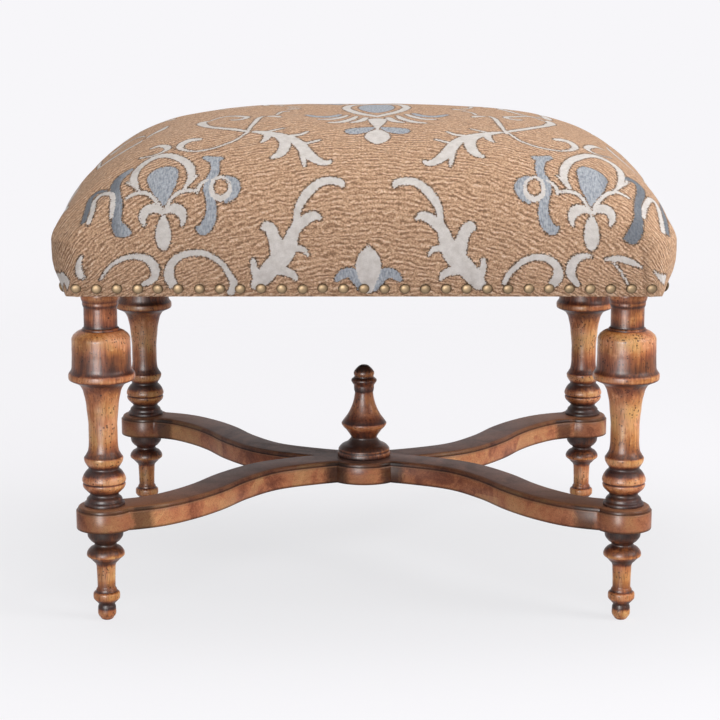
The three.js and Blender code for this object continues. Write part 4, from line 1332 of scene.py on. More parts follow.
# Woven motifs in the photograph's pixels: across, down and half the stroke's width in
# millimetres. Those of the upper, the lower and the crown's group repeat on the other side
# of the group's own middle line.
UPPER_AXIS_PX = 377.5
LOWER_AXIS_PX = 368.5
CROWN_AXIS_PX = 376.5
UPPER_WHITE_PX = {
    "arch": [(138.5, 190, 1.4), (134, 180, 3.6), (137.5, 170, 4.2), (146.5, 162.5, 4.2), (157, 157.5, 4.2),
             (168, 156, 4.2), (179.5, 159, 4.2), (188, 165, 4.2), (191.5, 173, 4.2), (190.5, 180, 3),
             (185, 189, 1.6)],
    "left_arc": [(127.4, 198, 2), (135, 194.2, 2), (145.3, 193.6, 2), (152.9, 198, 1.9),
                 (159.3, 205.7, 1.6), (163.1, 213, 1.2)],
    "right_arc": [(163.1, 213, 1.2), (168, 205, 1.6), (173, 198, 1.8), (180, 193, 2), (188, 191.3, 2),
                  (197.5, 192, 1.5)],
    "right_curl": [(197.5, 194, 1.2), (199.5, 187, 1.9), (204, 182.8, 1.7), (208.5, 181, 1.2)],
    "left_hair": [(127.4, 182.7, 1.6), (135, 187.8, 1.2), (142.7, 193, 1.2)],
    "right_hair": [(186, 189, 1.2), (192, 182, 1.2), (197.6, 176.4, 1.2)],
    "left_leaf": [(163, 213.5, 1.5), (157, 209.5, 3.6), (150, 209, 5), (144.8, 212.5, 4.8),
                  (142.8, 219, 3.2), (144.5, 225.5, 1.3)],
    "right_leaf": [(163.5, 213.5, 1.5), (170, 209.5, 3.6), (176, 209, 5), (181, 212.5, 4.8),
                   (183.5, 218.5, 3.2), (182, 225.5, 1.3)],
    "petal": [(163, 216, 1.2), (163, 224, 5.2), (163, 233, 7.6), (163.5, 241, 6.8), (164, 246, 4.5)],
    "ring": [(213.5, 181, 1.8), (220, 177.8, 1.8), (227, 180.5, 1.5), (230.3, 187.5, 1.7), (228, 195, 2.8),
             (221.5, 199, 3.3), (214, 196.5, 2.7), (211.3, 189, 2), (213.5, 181, 1.8)],
    "left_scroll": [(152, 149, 1.6), (158, 146.5, 2.6), (165, 146.5, 3.6), (168, 149, 3.2),
                    (163, 152.5, 1.9), (154, 156, 1.3), (140, 158.7, 1.2)],
    "right_scroll": [(198.5, 139.3, 3.8), (190, 140.5, 4.8), (182.5, 144, 4.6), (180, 148, 3.4),
                     (186, 150.5, 2), (197, 150.8, 1.4), (215, 147.2, 1.4), (234, 140.3, 1.4),
                     (247, 132, 1.4)],
    "sprig_left": [(254, 131.4, 2.4), (265, 132.6, 4.6), (277, 134.8, 5.6), (284, 139.5, 5.8),
                   (284.5, 147, 5.8), (280, 154, 5), (273, 157.5, 2.8)],
    "sprig_spur": [(268, 133.8, 4.4), (266, 138, 3.4), (261.5, 141.3, 1.2)],
    "sprig_thorn": [(270, 131, 2), (284, 128, 1.2)],
    "sprig_right": [(279, 134, 3.8), (290, 137.5, 5), (299, 143, 6.2), (305, 150, 6.4), (312, 157.5, 6),
                    (320, 162.5, 4.6), (327, 163.8, 3.6), (331, 161.3, 1.6)],
    "sprig_foot": [(302, 152, 3), (303.5, 160, 2.6), (304.5, 167, 1.3)],
    "sprig_hair": [(290, 135.5, 2.6), (300, 134.3, 2.4), (307.4, 131.6, 1.6)],
    "sprig_barb": [(303, 143.5, 2.2), (319.4, 139.6, 1.6)],
    "drop": [(377.5, 129.7, 2), (377.5, 132.5, 8.5), (377.5, 136, 13), (377.5, 139.5, 8),
             (377.5, 142.8, 1.8)],
    "tulip": [(377.5, 119.3, 10), (377.5, 122.5, 7.5), (377.5, 125.5, 4), (377.5, 128.6, 1.5)],
}
UPPER_BLUE_PX = {
    "teardrop": [(163, 177, 16), (163.5, 187, 12.4), (164, 195.5, 6.8), (164, 205, 1.6)],
    "right_cap": [(206, 157.8, 3.4), (213, 159.5, 5.4), (220, 158.5, 3.6)],
    "right_stem": [(214, 160, 5), (215.5, 168, 4.3), (214, 175, 4.7), (210, 182, 5.2), (208.5, 190, 5),
                   (210, 198, 4.3), (211.5, 207, 4.8), (211, 216, 5.5), (208, 224, 6.2), (203, 230, 5),
                   (197.5, 228, 2)],
    "crescent": [(226, 178.5, 2.4), (233, 181.5, 4), (236, 188, 4.6), (233, 196, 4), (226, 201.5, 2.4)],
    "lobe": [(354, 130.6, 9.4), (361, 129.8, 9), (368, 128.4, 5.5), (372, 127.6, 3)],
}
LOWER_WHITE_PX = {
    "bud": [(368.5, 246, 1), (368.5, 252, 4.6), (368.5, 258, 9.5), (368.5, 265, 12.6), (368.5, 273, 11.5),
            (368.5, 281, 8), (368.5, 289, 5)],
    "stem": [(342.5, 186.5, 2), (341, 183.5, 3.6), (335.9, 181.9, 4.3), (327.6, 181.4, 4.3),
             (319.8, 183.2, 4.4), (312, 188.8, 4.6), (305.6, 195.6, 4.6), (300.5, 203.4, 4),
             (297.8, 209.9, 3.4), (296.9, 215.4, 3.2), (297, 224, 4.6), (292.8, 233.5, 6),
             (290, 242.7, 7.6), (285.5, 251.8, 9.5), (278.6, 261, 10), (270.5, 269, 9.4), (263, 278, 9),
             (258, 284, 7)],
    "leaf_high": [(299, 227, 4), (302, 222.5, 5), (307.3, 218.5, 5), (314.5, 215.6, 4.2), (320, 218, 2)],
    "leaf_left": [(278, 254, 7), (276.3, 247.2, 6.6), (274.5, 238, 6), (270.5, 229.4, 5.6),
                  (265.5, 225.6, 4), (262.6, 228.6, 1.8)],
    "spur_right": [(294, 249, 3), (298.5, 248.6, 3), (303.8, 249.8, 2.6), (308, 255, 1.4)],
    "leaf_low": [(272, 271, 4), (279, 271, 4.4), (286, 272, 4.4), (292.3, 274.2, 3.8), (296, 279.4, 1.9)],
    "leaf_base": [(253.3, 260.6, 2.6), (254, 269, 3.3), (257, 277, 4)],
}
LOWER_BLUE_PX = {
    "bud_lobe": [(337.5, 279.5, 3), (343, 274.5, 5), (351, 273.5, 5.8), (358, 279.5, 6), (362, 287, 5)],
}
CROWN_WHITE_PX = {
    "stalk": [(246.5, 132.8, 1.5), (250.7, 126.8, 2), (255, 122, 2.4), (259.3, 117.8, 2.2),
              (263.6, 115.8, 1.2)],
    "leaf": [(268.5, 116.2, 1.5), (272, 115.8, 4.5), (276, 116, 4.5), (280, 117, 1.6)],
    "thread": [(277, 114, 1.6), (281, 111.8, 1.6), (286, 111, 1.6), (290, 110.8, 1.4)],
    "dash": [(288.6, 109.4, 2.4), (293, 109.1, 3.4), (299, 109.1, 2)],
    "scroll": [(247.9, 131.4, 1.8), (237, 129.4, 3), (225, 128.3, 2.8), (215, 127.4, 2.8),
               (208.5, 126.3, 3), (204, 124.6, 4), (201.5, 122.6, 5), (203.5, 121.2, 4)],
    "spiral": [(204, 121.4, 4), (208, 120.8, 1.6), (215, 118.4, 1.5), (221.4, 116.7, 1.7),
               (229.3, 115.6, 2.2), (237.9, 115.3, 3), (245, 116, 3.6), (247, 117, 3), (243, 118.5, 3.4),
               (236.4, 119.4, 3), (231, 119.3, 1.6)],
}

# Motifs near the ends, in pixels too. The cloth isn't laid evenly there, so each has its own
# place, and none repeats.
END_WHITE_PX = {
    "hook": [(88.5, 223, 2.4), (92.5, 212, 2.7), (95, 201, 2.7), (101, 195, 2.7), (108, 193.5, 2.5),
             (113, 197, 2.5), (112.5, 208, 2.7), (111.5, 218, 1.6)],
    "scroll_near": [(173, 285, 4), (169, 276, 4.6), (169.8, 268, 4.5), (174, 261, 4), (182, 255.5, 3.3),
                    (193.6, 253, 2.9), (205, 253.8, 2.7), (215.4, 258.9, 2.5), (223.5, 265.6, 2.5),
                    (229.2, 274.8, 2.7), (233.8, 284, 3.6), (231.5, 292, 4)],
    "far_scroll": [(101, 279, 1.5), (108, 268.5, 1.9), (119, 260.5, 2.2), (132, 256.8, 2.5),
                   (144, 257.8, 3.1), (152, 263.5, 3.9), (155.5, 271.5, 4.2), (152.5, 280, 4),
                   (144, 284, 3)],
    "corner_piece": [(81, 257, 1.8), (78.5, 265, 2.9), (80, 274, 2.6), (84, 279, 1.4)],
    "edge_scroll": [(54, 263, 1.8), (57.5, 269, 2.6), (62.5, 277, 3), (68, 285, 3.2)],
    "end_leaf": [(146.5, 137.5, 1.4), (152, 134, 2.2), (158, 131, 4), (163, 128.5, 4), (167.5, 126, 1.4)],
    "right_scroll_near": [(504.5, 284, 2.4), (508, 276, 2.5), (515, 268, 2.5), (524, 261, 2.7),
                          (534, 257.5, 2.9), (544, 258, 3.3), (552, 261.5, 4), (557.5, 268, 4.5),
                          (558, 276, 4.6), (553, 284, 4)],
    "right_curl": [(591, 256.3, 1.6), (582, 256.5, 3), (575, 260.5, 4), (571, 268, 4.4), (571.5, 276, 4.4),
                   (577, 284, 3.2)],
    "right_leaf": [(606, 259.5, 1.4), (614, 258.8, 2.2), (622, 259.3, 3), (631, 262, 3.2),
                   (638, 265.3, 2.4), (642, 267.5, 1.2)],
    "right_line": [(613.5, 262.6, 1.3), (621, 272, 1.5), (628, 284.7, 1.5)],
    "right_hook": [(643.5, 218, 1.8), (644.5, 208, 2.7), (648, 201.5, 2.7), (654, 201.5, 2.7),
                   (658.5, 209, 2.7), (661, 219, 2.7), (663, 232, 2.4)],
    "right_crumb": [(655, 273, 1.8), (661, 278, 3.4), (666, 286, 3.4), (668, 291, 1.8)],
}
END_BLUE_PX = {
    "left_stem": [(130.3, 170.5, 3.2), (124.5, 174.5, 4.8), (118.5, 180, 5.4), (115, 188, 5),
                  (117, 197, 4.1), (118.5, 206, 4.1), (117, 216, 4.5), (117, 225, 5.2), (122, 231.5, 6),
                  (129, 233, 2.5)],
    "hook_shade": [(84, 222, 2.6), (88, 209, 3.2), (91, 199, 2.8), (98, 192.5, 2.2), (106, 191, 1.3)],
    "right_stem_end": [(624, 180, 2.4), (631, 181.5, 4), (638, 186.5, 5), (640.5, 194, 4.6),
                       (638, 203, 3.8), (638, 212, 4), (638.5, 222, 4.6), (636, 231, 6), (631, 238.5, 6),
                       (626, 239, 2.5)],
    "right_hook_shade": [(660, 204, 1.3), (663, 212, 2.4), (665.5, 222, 2.8), (667, 233, 2.6)],
    "end_blot": [(94, 167, 4), (100, 162.5, 6.4), (107, 159, 3.6)],
}

# Motifs across the crown's own middle, on the flat cloth in millimetres from there: along to
# the right, back, and half the stroke's width. They repeat across the pattern's middle line.
CROWN_WHITE_MM = {
    "eye": [(-20, 0, 4.2), (-17, -22, 4.6), (-10, -43, 4.8), (1, -64, 4.8), (14, -83, 4)],
    "rib_one": [(-48, -105, 1.8), (-36, -104, 3.1), (-25, -91, 3.4), (-18, -68, 1.8)],
    "rib_two": [(-37, -124, 2), (-24, -119, 3.6), (-13, -103, 3.6), (-8, -80, 1.8)],
    "rib_three": [(-13, -122, 2), (-4, -114, 3.9), (2, -94, 3.1)],
}
CROWN_BLUE_MM = {
    "heart": [(14, -46, 4), (14, -34, 11), (14, -16, 18), (14, 0, 20)],
    "shade": [(-62, -72, 2.6), (-50, -86, 5.2), (-36, -84, 5.4), (-26, -62, 2.6)],
}

# The tables of pixels by the colour of their motifs, each with the line across which its
# motifs repeat, if any.
WHITE_TABLES = [
    (UPPER_WHITE_PX, UPPER_AXIS_PX),
    (LOWER_WHITE_PX, LOWER_AXIS_PX),
    (CROWN_WHITE_PX, CROWN_AXIS_PX),
    (END_WHITE_PX, None),
]
BLUE_TABLES = [
    (UPPER_BLUE_PX, UPPER_AXIS_PX),
    (LOWER_BLUE_PX, LOWER_AXIS_PX),
    (END_BLUE_PX, None),
]


def sight(px, py):
    """The camera's place, and the direction in which it sees a pixel."""
    scale = PICTURE * CAMERA_LENS / SENSOR
    across = (px - PICTURE_AXIS_PX) / scale
    down = (py - PICTURE / 2) / scale
    cosine, sine = math.cos(CAMERA_TILT), math.sin(CAMERA_TILT)
    direction = Vector((across, cosine - down * sine, -sine - down * cosine))
    return Vector((0, -CAMERA_BACK, CAMERA_HEIGHT)), direction


def on_cloth(tree, points, faces, places, px, py):
    """Where a pixel lies on the flat cloth, or nothing if the camera doesn't see the cloth there."""
    hit, _, index, _ = tree.ray_cast(*sight(px, py))
    if hit is None:
        return None
    weights = poly_3d_calc([Vector(points[corner]) for corner in faces[index]], hit)
    return sum(weight * places[corner] for weight, corner in zip(weights, faces[index]))


def motif_strokes(points, faces, places, tables):
    """Strokes of the tables' motifs on the flat cloth."""
    tree = BVHTree.FromPolygons([tuple(point) for point in points], faces)
    strokes = []
    for table, axis in tables:
        for outline in table.values():
            outlines = [outline]
            if axis:
                outlines.append([(2 * axis - px, py, width) for px, py, width in outline])
            for pixels in outlines:
                found = [(on_cloth(tree, points, faces, places, px, py), width) for px, py, width in pixels]
                line = [(*place, width * MM) for place, width in found if place is not None]
                if len(line) > 1:
                    strokes.append(spline(line, STROKE_STEP) if len(line) > 2 else np.array(line))
    return strokes


def crown_strokes(table):
    """Strokes of the crown's own motifs on the flat cloth, and of those facing them."""
    strokes = []
    for outline in table.values():
        line = np.array(outline) * MM
        facing = line * (-1, 1, 1) + (2 * PATTERN_MIDDLE, 0, 0)
        strokes += [spline(line, STROKE_STEP), spline(facing, STROKE_STEP)]
    return strokes


def distance_to(places, strokes):
    """Signed distance of each place on the cloth to the nearest stroke, in millimetres."""
    nearest = np.full(len(places), MOTIF_REACH)
    for stroke in strokes:
        low = stroke[:, :2].min(0) - MOTIF_REACH - stroke[:, 2].max()
        high = stroke[:, :2].max(0) + MOTIF_REACH + stroke[:, 2].max()
        inside = np.flatnonzero(((places > low) & (places < high)).all(1))
        near = places[inside]
        best = nearest[inside]
        for start, end in zip(stroke, stroke[1:]):
            run = end[:2] - start[:2]
            share = np.clip(((near - start[:2]) @ run) / max(run @ run, TINY ** 2), 0, 1)
            gap = np.linalg.norm(near - start[:2] - share[:, None] * run, axis=1)
            best = np.minimum(best, gap - (start[2] + share * (end[2] - start[2])))
        nearest[inside] = best
    return nearest / MM


def repeated(places):
    """Places folded back into the part of the pattern that the motifs cover.

    The far half mirrors the near half, and the cloth that hangs down the ends mirrors the
    top's ends.
    """
    folded = places.copy()
    folded[:, 1] = -np.abs(folded[:, 1])
    out = np.abs(folded[:, 0] - PATTERN_MIDDLE)
    over = (out > PATTERN_END) | ((out > CROWN_END) & (folded[:, 1] > -CROWN_DEPTH))
    side = np.sign(folded[over, 0] - PATTERN_MIDDLE)
    folded[over, 0] = PATTERN_MIDDLE + side * (2 * PATTERN_FOLD - out[over])
    return folded


def nail_places(half_span, pitch):
    """Places of the nails along one side, spaced as near the pitch as fits."""
    count = round(2 * half_span / pitch) + 1
    return np.linspace(-half_span, half_span, count)


def smooth_noise(points, scale, seed):
    """Soft repeatable lumps between -1 and 1, from a few crossed waves."""
    draw = np.random.default_rng(seed)
    total = np.zeros(len(points))
    waves = 9
    for _ in range(waves):
        direction = draw.normal(size=3)
        direction /= np.linalg.norm(direction)
        total += np.sin(points @ direction * 2 * math.pi / scale + draw.uniform(0, 2 * math.pi))
    return total / waves ** 0.5


def swelling(size, away):
    """A soft rise of a height and a reach, at distances from its middle."""
    height, reach = size
    return height * np.exp(-(away / reach) ** 2)


def softened(points, normals, nail_pitch):
    """The stuffing's small lumps, the pull of each nail and the folded corners."""
    height = points[:, 2] - SEAT_FLOOR
    push = np.zeros(len(points))
    for seed, (depth, reach) in enumerate((BROAD_LUMP, SMALL_LUMP), SEED):
        push += smooth_noise(points, reach, seed) * depth
    push *= np.clip(height / LUMPS_FULL_AT, 0, 1)
    for side_x, side_y in SIDES.values():
        length = SEAT_HALF_WIDTH if side_y else SEAT_HALF_DEPTH
        half_span = length - WALL_SWELL - NAIL_CORNER_INSET
        facing = normals[:, 0] * side_x + normals[:, 1] * side_y
        wall = np.flatnonzero((facing > PULLED_FACING) & (height < PULLED_BELOW))
        along = points[wall, 0] if side_y else points[wall, 1]
        up = height[wall]
        for place in nail_places(half_span, nail_pitch):
            push[wall] -= swelling(NAIL_PULL, np.hypot(along - place, up - NAIL_UP))
        phase = np.cos((along + half_span) / nail_pitch * 2 * math.pi)
        push[wall] -= phase * swelling(ROW_PULL, up - NAIL_UP)
        lean = (up - FOLD_LEAN_ABOUT) * FOLD_LEAN
        offset = np.abs(along) - (length - WALL_SWELL - FOLD_INSET) + lean
        grown = np.clip(1 - up / WALL_TOP, 0, 1) ** 0.5
        push[wall] -= grown * swelling(FOLD_FURROW, offset)
        push[wall] += grown * swelling(FOLD_ROLL, offset - FOLD_ROLL_OUT)
    return points + normals * push[:, None]


class STOOL_OT_cover(bpy.types.Operator):
    """Figured cloth pulled over the padding, with its hem turned under the frame"""

    bl_idname = "stool.cover"
    bl_label = "Cover"

    def execute(self, context):
        seat = context.scene.stool_seat
        pad = Pad()
        rings = pad.rings(SEAT_FLOOR)
        places = cloth_places(pad, rings, int(WALL_TOP / pad.step) + 1)
        outer, faces = pad.skin(rings)
        outer_places = np.vstack([*places, [0, 0]])
        white = motif_strokes(outer, faces, outer_places, WHITE_TABLES) + crown_strokes(CROWN_WHITE_MM)
        blue = motif_strokes(outer, faces, outer_places, BLUE_TABLES) + crown_strokes(CROWN_BLUE_MM)
        material = figured_cloth("ribbed_jacquard", seat)
        sketch = mesh_object("sketch", outer, faces, material)
        normals = np.zeros(len(outer) * 3)
        sketch.data.vertices.foreach_get("normal", normals)
        bpy.data.objects.remove(sketch)
        hem = self.hem(pad)
        points = np.vstack([softened(outer, normals.reshape(-1, 3), seat.nail_pitch), *hem])
        faces += self.hem_faces(pad.count, len(outer), len(hem))
        cover = mesh_object("figured_cover", points, faces, material)
        all_places = np.vstack([outer_places, *[places[0]] * len(hem)])
        point_values(cover, "cloth", np.column_stack([all_places, np.zeros(len(points))]), "FLOAT_VECTOR")
        on_hem = np.full(len(points) - len(outer), HEM_TO_MOTIF)
        for name, strokes in (("white", white), ("blue", blue)):
            away = distance_to(repeated(outer_places), strokes)
            point_values(cover, name, np.concatenate([away, on_hem]))
        finished(cover, "seat_fabric", "seat_cover")
        return {"FINISHED"}

    def hem(self, pad):
        """Rings of the hem: round the lower edge, flat under the frame and up behind itself."""
        rings = []
        for inward, rise in HEM_SECTION:
            reach = WALL_SWELL + inward
            plan = pad.plan(pad.half_width - reach, pad.half_depth - reach, EDGE_CORNER)
            rings.append(np.column_stack([plan, np.full(pad.count, SEAT_FLOOR + rise)]))
        return rings

    def hem_faces(self, count, first, levels):
        """Faces from the lower edge round the hem's rings, and the one that closes them."""
        around = np.arange(count)
        after = (around + 1) % count
        faces = np.column_stack([first + around, first + after, after, around]).tolist()
        faces += [list(reversed(face)) for face in ring_faces(count, levels, first)]
        faces.append((first + (levels - 1) * count + around).tolist())
        return faces


class STOOL_OT_stuffing(bpy.types.Operator):
    """Foam block on the frame, and wadding over it and down the rails"""

    bl_idname = "stool.stuffing"
    bl_label = "Stuffing"

    def execute(self, context):
        skin = COVER_THICKNESS + GAP + COVER_ROOM
        outer = Pad(skin, COARSE_STEP)
        inner = Pad(skin + WADDING_THICKNESS - WADDING_PRESSED, COARSE_STEP)
        self.foam(inner)
        self.wadding(outer, inner)
        return {"FINISHED"}

    def foam(self, pad):
        """A closed block of cut foam with a flat underside."""
        material = cellular("cut_foam", FOAM_CELL, 0xECDDA6, 0xC9B67C, 0.95)
        rings = Pad(pad.inset + GAP, pad.step).rings(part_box("foam_core")[0].z)
        points, faces = pad.skin(rings)
        faces.append(list(reversed(range(pad.count))))
        block = mesh_object("foam_block", points, faces, material, STUFFING_CREASE)
        finished(block, "foam", "foam_core")

    def wadding(self, outer, inner):
        """A wrap of wadding of even thickness, open below."""
        material = cellular("carded_wadding", WADDING_FIBRE, 0xF3F1EC, 0xD9D6CF, 1.0)
        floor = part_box("wadding")[0].z
        points, faces = outer.skin(outer.rings(floor))
        inner_points, inner_faces = inner.skin(inner.rings(floor))
        shift = len(points)
        faces += [[shift + index for index in reversed(face)] for face in inner_faces]
        for i in range(outer.count):
            j = (i + 1) % outer.count
            faces.append([j, i, shift + i, shift + j])
        points = np.vstack([points, inner_points])
        wrap = mesh_object("wadding_wrap", points, faces, material, STUFFING_CREASE)
        finished(wrap, "wadding", "wadding")


def nail_head(radius):
    """Points and faces of one domed head with a thin rim, closed behind and facing up."""
    rings = [
        np.column_stack([circle(NAIL_SIDES) * share * radius, np.full(NAIL_SIDES, rise * NAIL_HEIGHT)])
        for share, rise in NAIL_SHARES
    ]
    points = np.vstack([*rings, (0, 0, NAIL_HEIGHT)])
    tip = len(points) - 1
    faces = ring_faces(NAIL_SIDES, len(rings)) + fan_faces(NAIL_SIDES, tip - NAIL_SIDES, tip)
    faces.append(list(reversed(range(NAIL_SIDES))))
    return points, faces


class STOOL_OT_nails(bpy.types.Operator):
    """Domed brass nails along the seat's lower edge"""

    bl_idname = "stool.nails"
    bl_label = "Nails"

    def execute(self, context):
        seat = context.scene.stool_seat
        material = antique_brass("antique_brass", seat)
        pad = Pad(0, COARSE_STEP)
        low = pad.wall(NAIL_UP - WALL_SLOPE_REACH)
        high = pad.wall(NAIL_UP + WALL_SLOPE_REACH)
        tilt = math.atan2(high[:, 1].max() - low[:, 1].max(), 2 * WALL_SLOPE_REACH)
        swell = pad.wall(NAIL_UP)[:, 1].max() - SEAT_HALF_DEPTH
        head_points, head_faces = nail_head(seat.nail_width / 2)
        draw = np.random.default_rng(SEED)
        for name, (side_x, side_y) in SIDES.items():
            length, reach = SEAT_HALF_DEPTH, SEAT_HALF_WIDTH
            if side_y:
                length, reach = reach, length
            outward = np.array([side_x * math.cos(tilt), side_y * math.cos(tilt), -math.sin(tilt)])
            sideways = np.array([-side_y, side_x, 0.0])
            upward = np.cross(outward, sideways)
            points, faces = [], []
            places = nail_places(length - WALL_SWELL - NAIL_CORNER_INSET, seat.nail_pitch)
            for place in places:
                along = place + draw.normal(0, NAIL_STRAY[0])
                up = NAIL_UP + draw.normal(0, NAIL_STRAY[1])
                lean = draw.normal(0, NAIL_LEAN, 2)
                axis = outward + lean[0] * sideways + lean[1] * upward
                axis /= np.linalg.norm(axis)
                first = np.cross(upward, axis)
                first /= np.linalg.norm(first)
                second = np.cross(axis, first)
                base = np.array([side_x, side_y, 0.0]) * (reach + swell - NAIL_SUNK) + sideways * along
                base[2] = SEAT_FLOOR + up
                start = len(points)
                points.extend(head_points @ np.array([first, second, axis]) + base)
                faces.extend([start + index for index in face] for face in head_faces)
            piece = mesh_object(f"brass_nails_{name}", points, faces, material)
            # The height over each head, by which the brass is painted darker at the rim and lighter on the
            # crown.
            point_values(piece, "crown", np.tile(head_points[:, 2] / NAIL_HEIGHT, len(places)))
            finished(piece, "nail_brass", f"nails_{name}")
        return {"FINISHED"}


def sheet_mesh(name, xs, ys, height_at, thickness, material):
    """A closed thin sheet over a grid, with its underside at height_at(x, y)."""
    points = []
    for lift in (0, thickness):
        points.extend((x, y, height_at(x, y) + lift) for y in ys for x in xs)
    columns, rows = len(xs), len(ys)
    layer = columns * rows
    faces = []
    for row in range(rows - 1):
        for column in range(columns - 1):
            a = row * columns + column
            b = a + columns
            faces.append((a, b, b + 1, a + 1))
            faces.append((layer + a, layer + a + 1, layer + b + 1, layer + b))
    rim = list(range(columns))
    rim += [row * columns + columns - 1 for row in range(1, rows)]
    rim += [(rows - 1) * columns + column for column in range(columns - 2, -1, -1)]
    rim += [row * columns for row in range(rows - 2, 0, -1)]
    for a, b in zip(rim, rim[1:] + rim[:1]):
        faces.append((a, b, layer + b, layer + a))
    return mesh_object(name, points, faces, material, SHEET_CREASE)


class STOOL_OT_webbing(bpy.types.Operator):
    """Interlaced jute webbing over the frame, and hessian over the webbing"""

    bl_idname = "stool.webbing"
    bl_label = "Webbing and hessian"

    def execute(self, context):
        webbing = woven_jute("jute_webbing", WEBBING_THREAD, 0xB99A68, 0x7C6340)
        hessian = woven_jute("jute_hessian", HESSIAN_THREAD, 0xB39668, 0x6E5A3C)
        along = [f"webbing_along_{row}" for row in (1, 2, 3)]
        across = [f"webbing_across_{column}" for column in (1, 2, 3, 4)]
        along_y = [middle_of(name).y for name in along]
        across_x = [middle_of(name).x for name in across]
        for row, name in enumerate(along):
            over = [x for i, x in enumerate(across_x) if (i + row) % 2 == 0]
            self.strap(name, over, webbing, "x")
        for column, name in enumerate(across):
            over = [y for i, y in enumerate(along_y) if (i + column) % 2 == 1]
            self.strap(name, over, webbing, "y")
        low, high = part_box("hessian")
        xs = np.linspace(low.x, high.x, HESSIAN_GRID[0])
        ys = np.linspace(low.y, high.y, HESSIAN_GRID[1])
        sheet = sheet_mesh("hessian_sheet", xs, ys, lambda x, y: low.z, high.z - low.z, hessian)
        finished(sheet, "hessian_jute", "hessian")
        return {"FINISHED"}

    def strap(self, name, over, material, direction):
        """One strap along a direction, lifted over the straps that it crosses above."""
        low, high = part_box(name)
        long_way = np.linspace(low[direction == "y"], high[direction == "y"], STRAP_GRID[0])
        short_way = np.linspace(low[direction == "x"], high[direction == "x"], STRAP_GRID[1])
        places = (long_way, short_way) if direction == "x" else (short_way, long_way)

        def height_at(x, y):
            along = x if direction == "x" else y
            gap = min(abs(along - crossing) for crossing in over)
            share = min(max((STRAP_FLAT + STRAP_SLOPE - gap) / STRAP_SLOPE, 0), 1)
            return low.z + STRAP_LIFT * share * share * (3 - 2 * share)

        strap = sheet_mesh(f"{name}_strap", *places, height_at, STRAP_THICKNESS, material)
        finished(strap, "webbing_jute", name)


class STOOL_OT_dust_cloth(bpy.types.Operator):
    """Black cambric tacked under the seat, sagging a little, with holes for the legs"""

    bl_idname = "stool.dust_cloth"
    bl_label = "Dust cloth"

    def execute(self, context):
        cambric = cellular("black_cambric", CAMBRIC_FIBRE, 0x322F2D, 0x1F1D1C, 0.95)
        low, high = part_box("dust_cover")
        xs = np.linspace(low.x, high.x, DUST_GRID[0])
        ys = np.linspace(low.y, high.y, DUST_GRID[1])

        def sagged(x, y):
            inward = (1 - (x / high.x) ** 2) * (1 - (y / high.y) ** 2)
            return low.z - DUST_SAG * inward

        cloth = sheet_mesh("cambric_dust_cloth", xs, ys, sagged, high.z - low.z, cambric)
        through = [(0, low.z - OVERRUN), (0, high.z + OVERRUN)]
        for side_x, side_y in CORNERS.values():
            ring = LEG_HOLE_RADIUS * circle(HOLE_SIDES) + (side_x * LEG_X, side_y * LEG_Y)
            cutter = ring_slab("leg_hole", lambda inset, ring=ring: ring, through, cambric)
            combined(cloth, cutter, "DIFFERENCE")
        finished(cloth, "dust_cloth", "dust_cover")
        return {"FINISHED"}


class STOOL_OT_frame_finish(bpy.types.Operator):
    """Beech on the seat frame and zinc on its screws"""

    bl_idname = "stool.frame_finish"
    bl_label = "Frame finish"

    def execute(self, context):
        beech = planed_beech("planed_beech")
        zinc = zinc_steel("zinc_plated_steel")
        for name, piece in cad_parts.items():
            if name.startswith(("rail_", "corner_block_", "screw_")):
                piece.data.materials.clear()
                piece.data.materials.append(zinc if name.startswith("screw_") else beech)
        return {"FINISHED"}


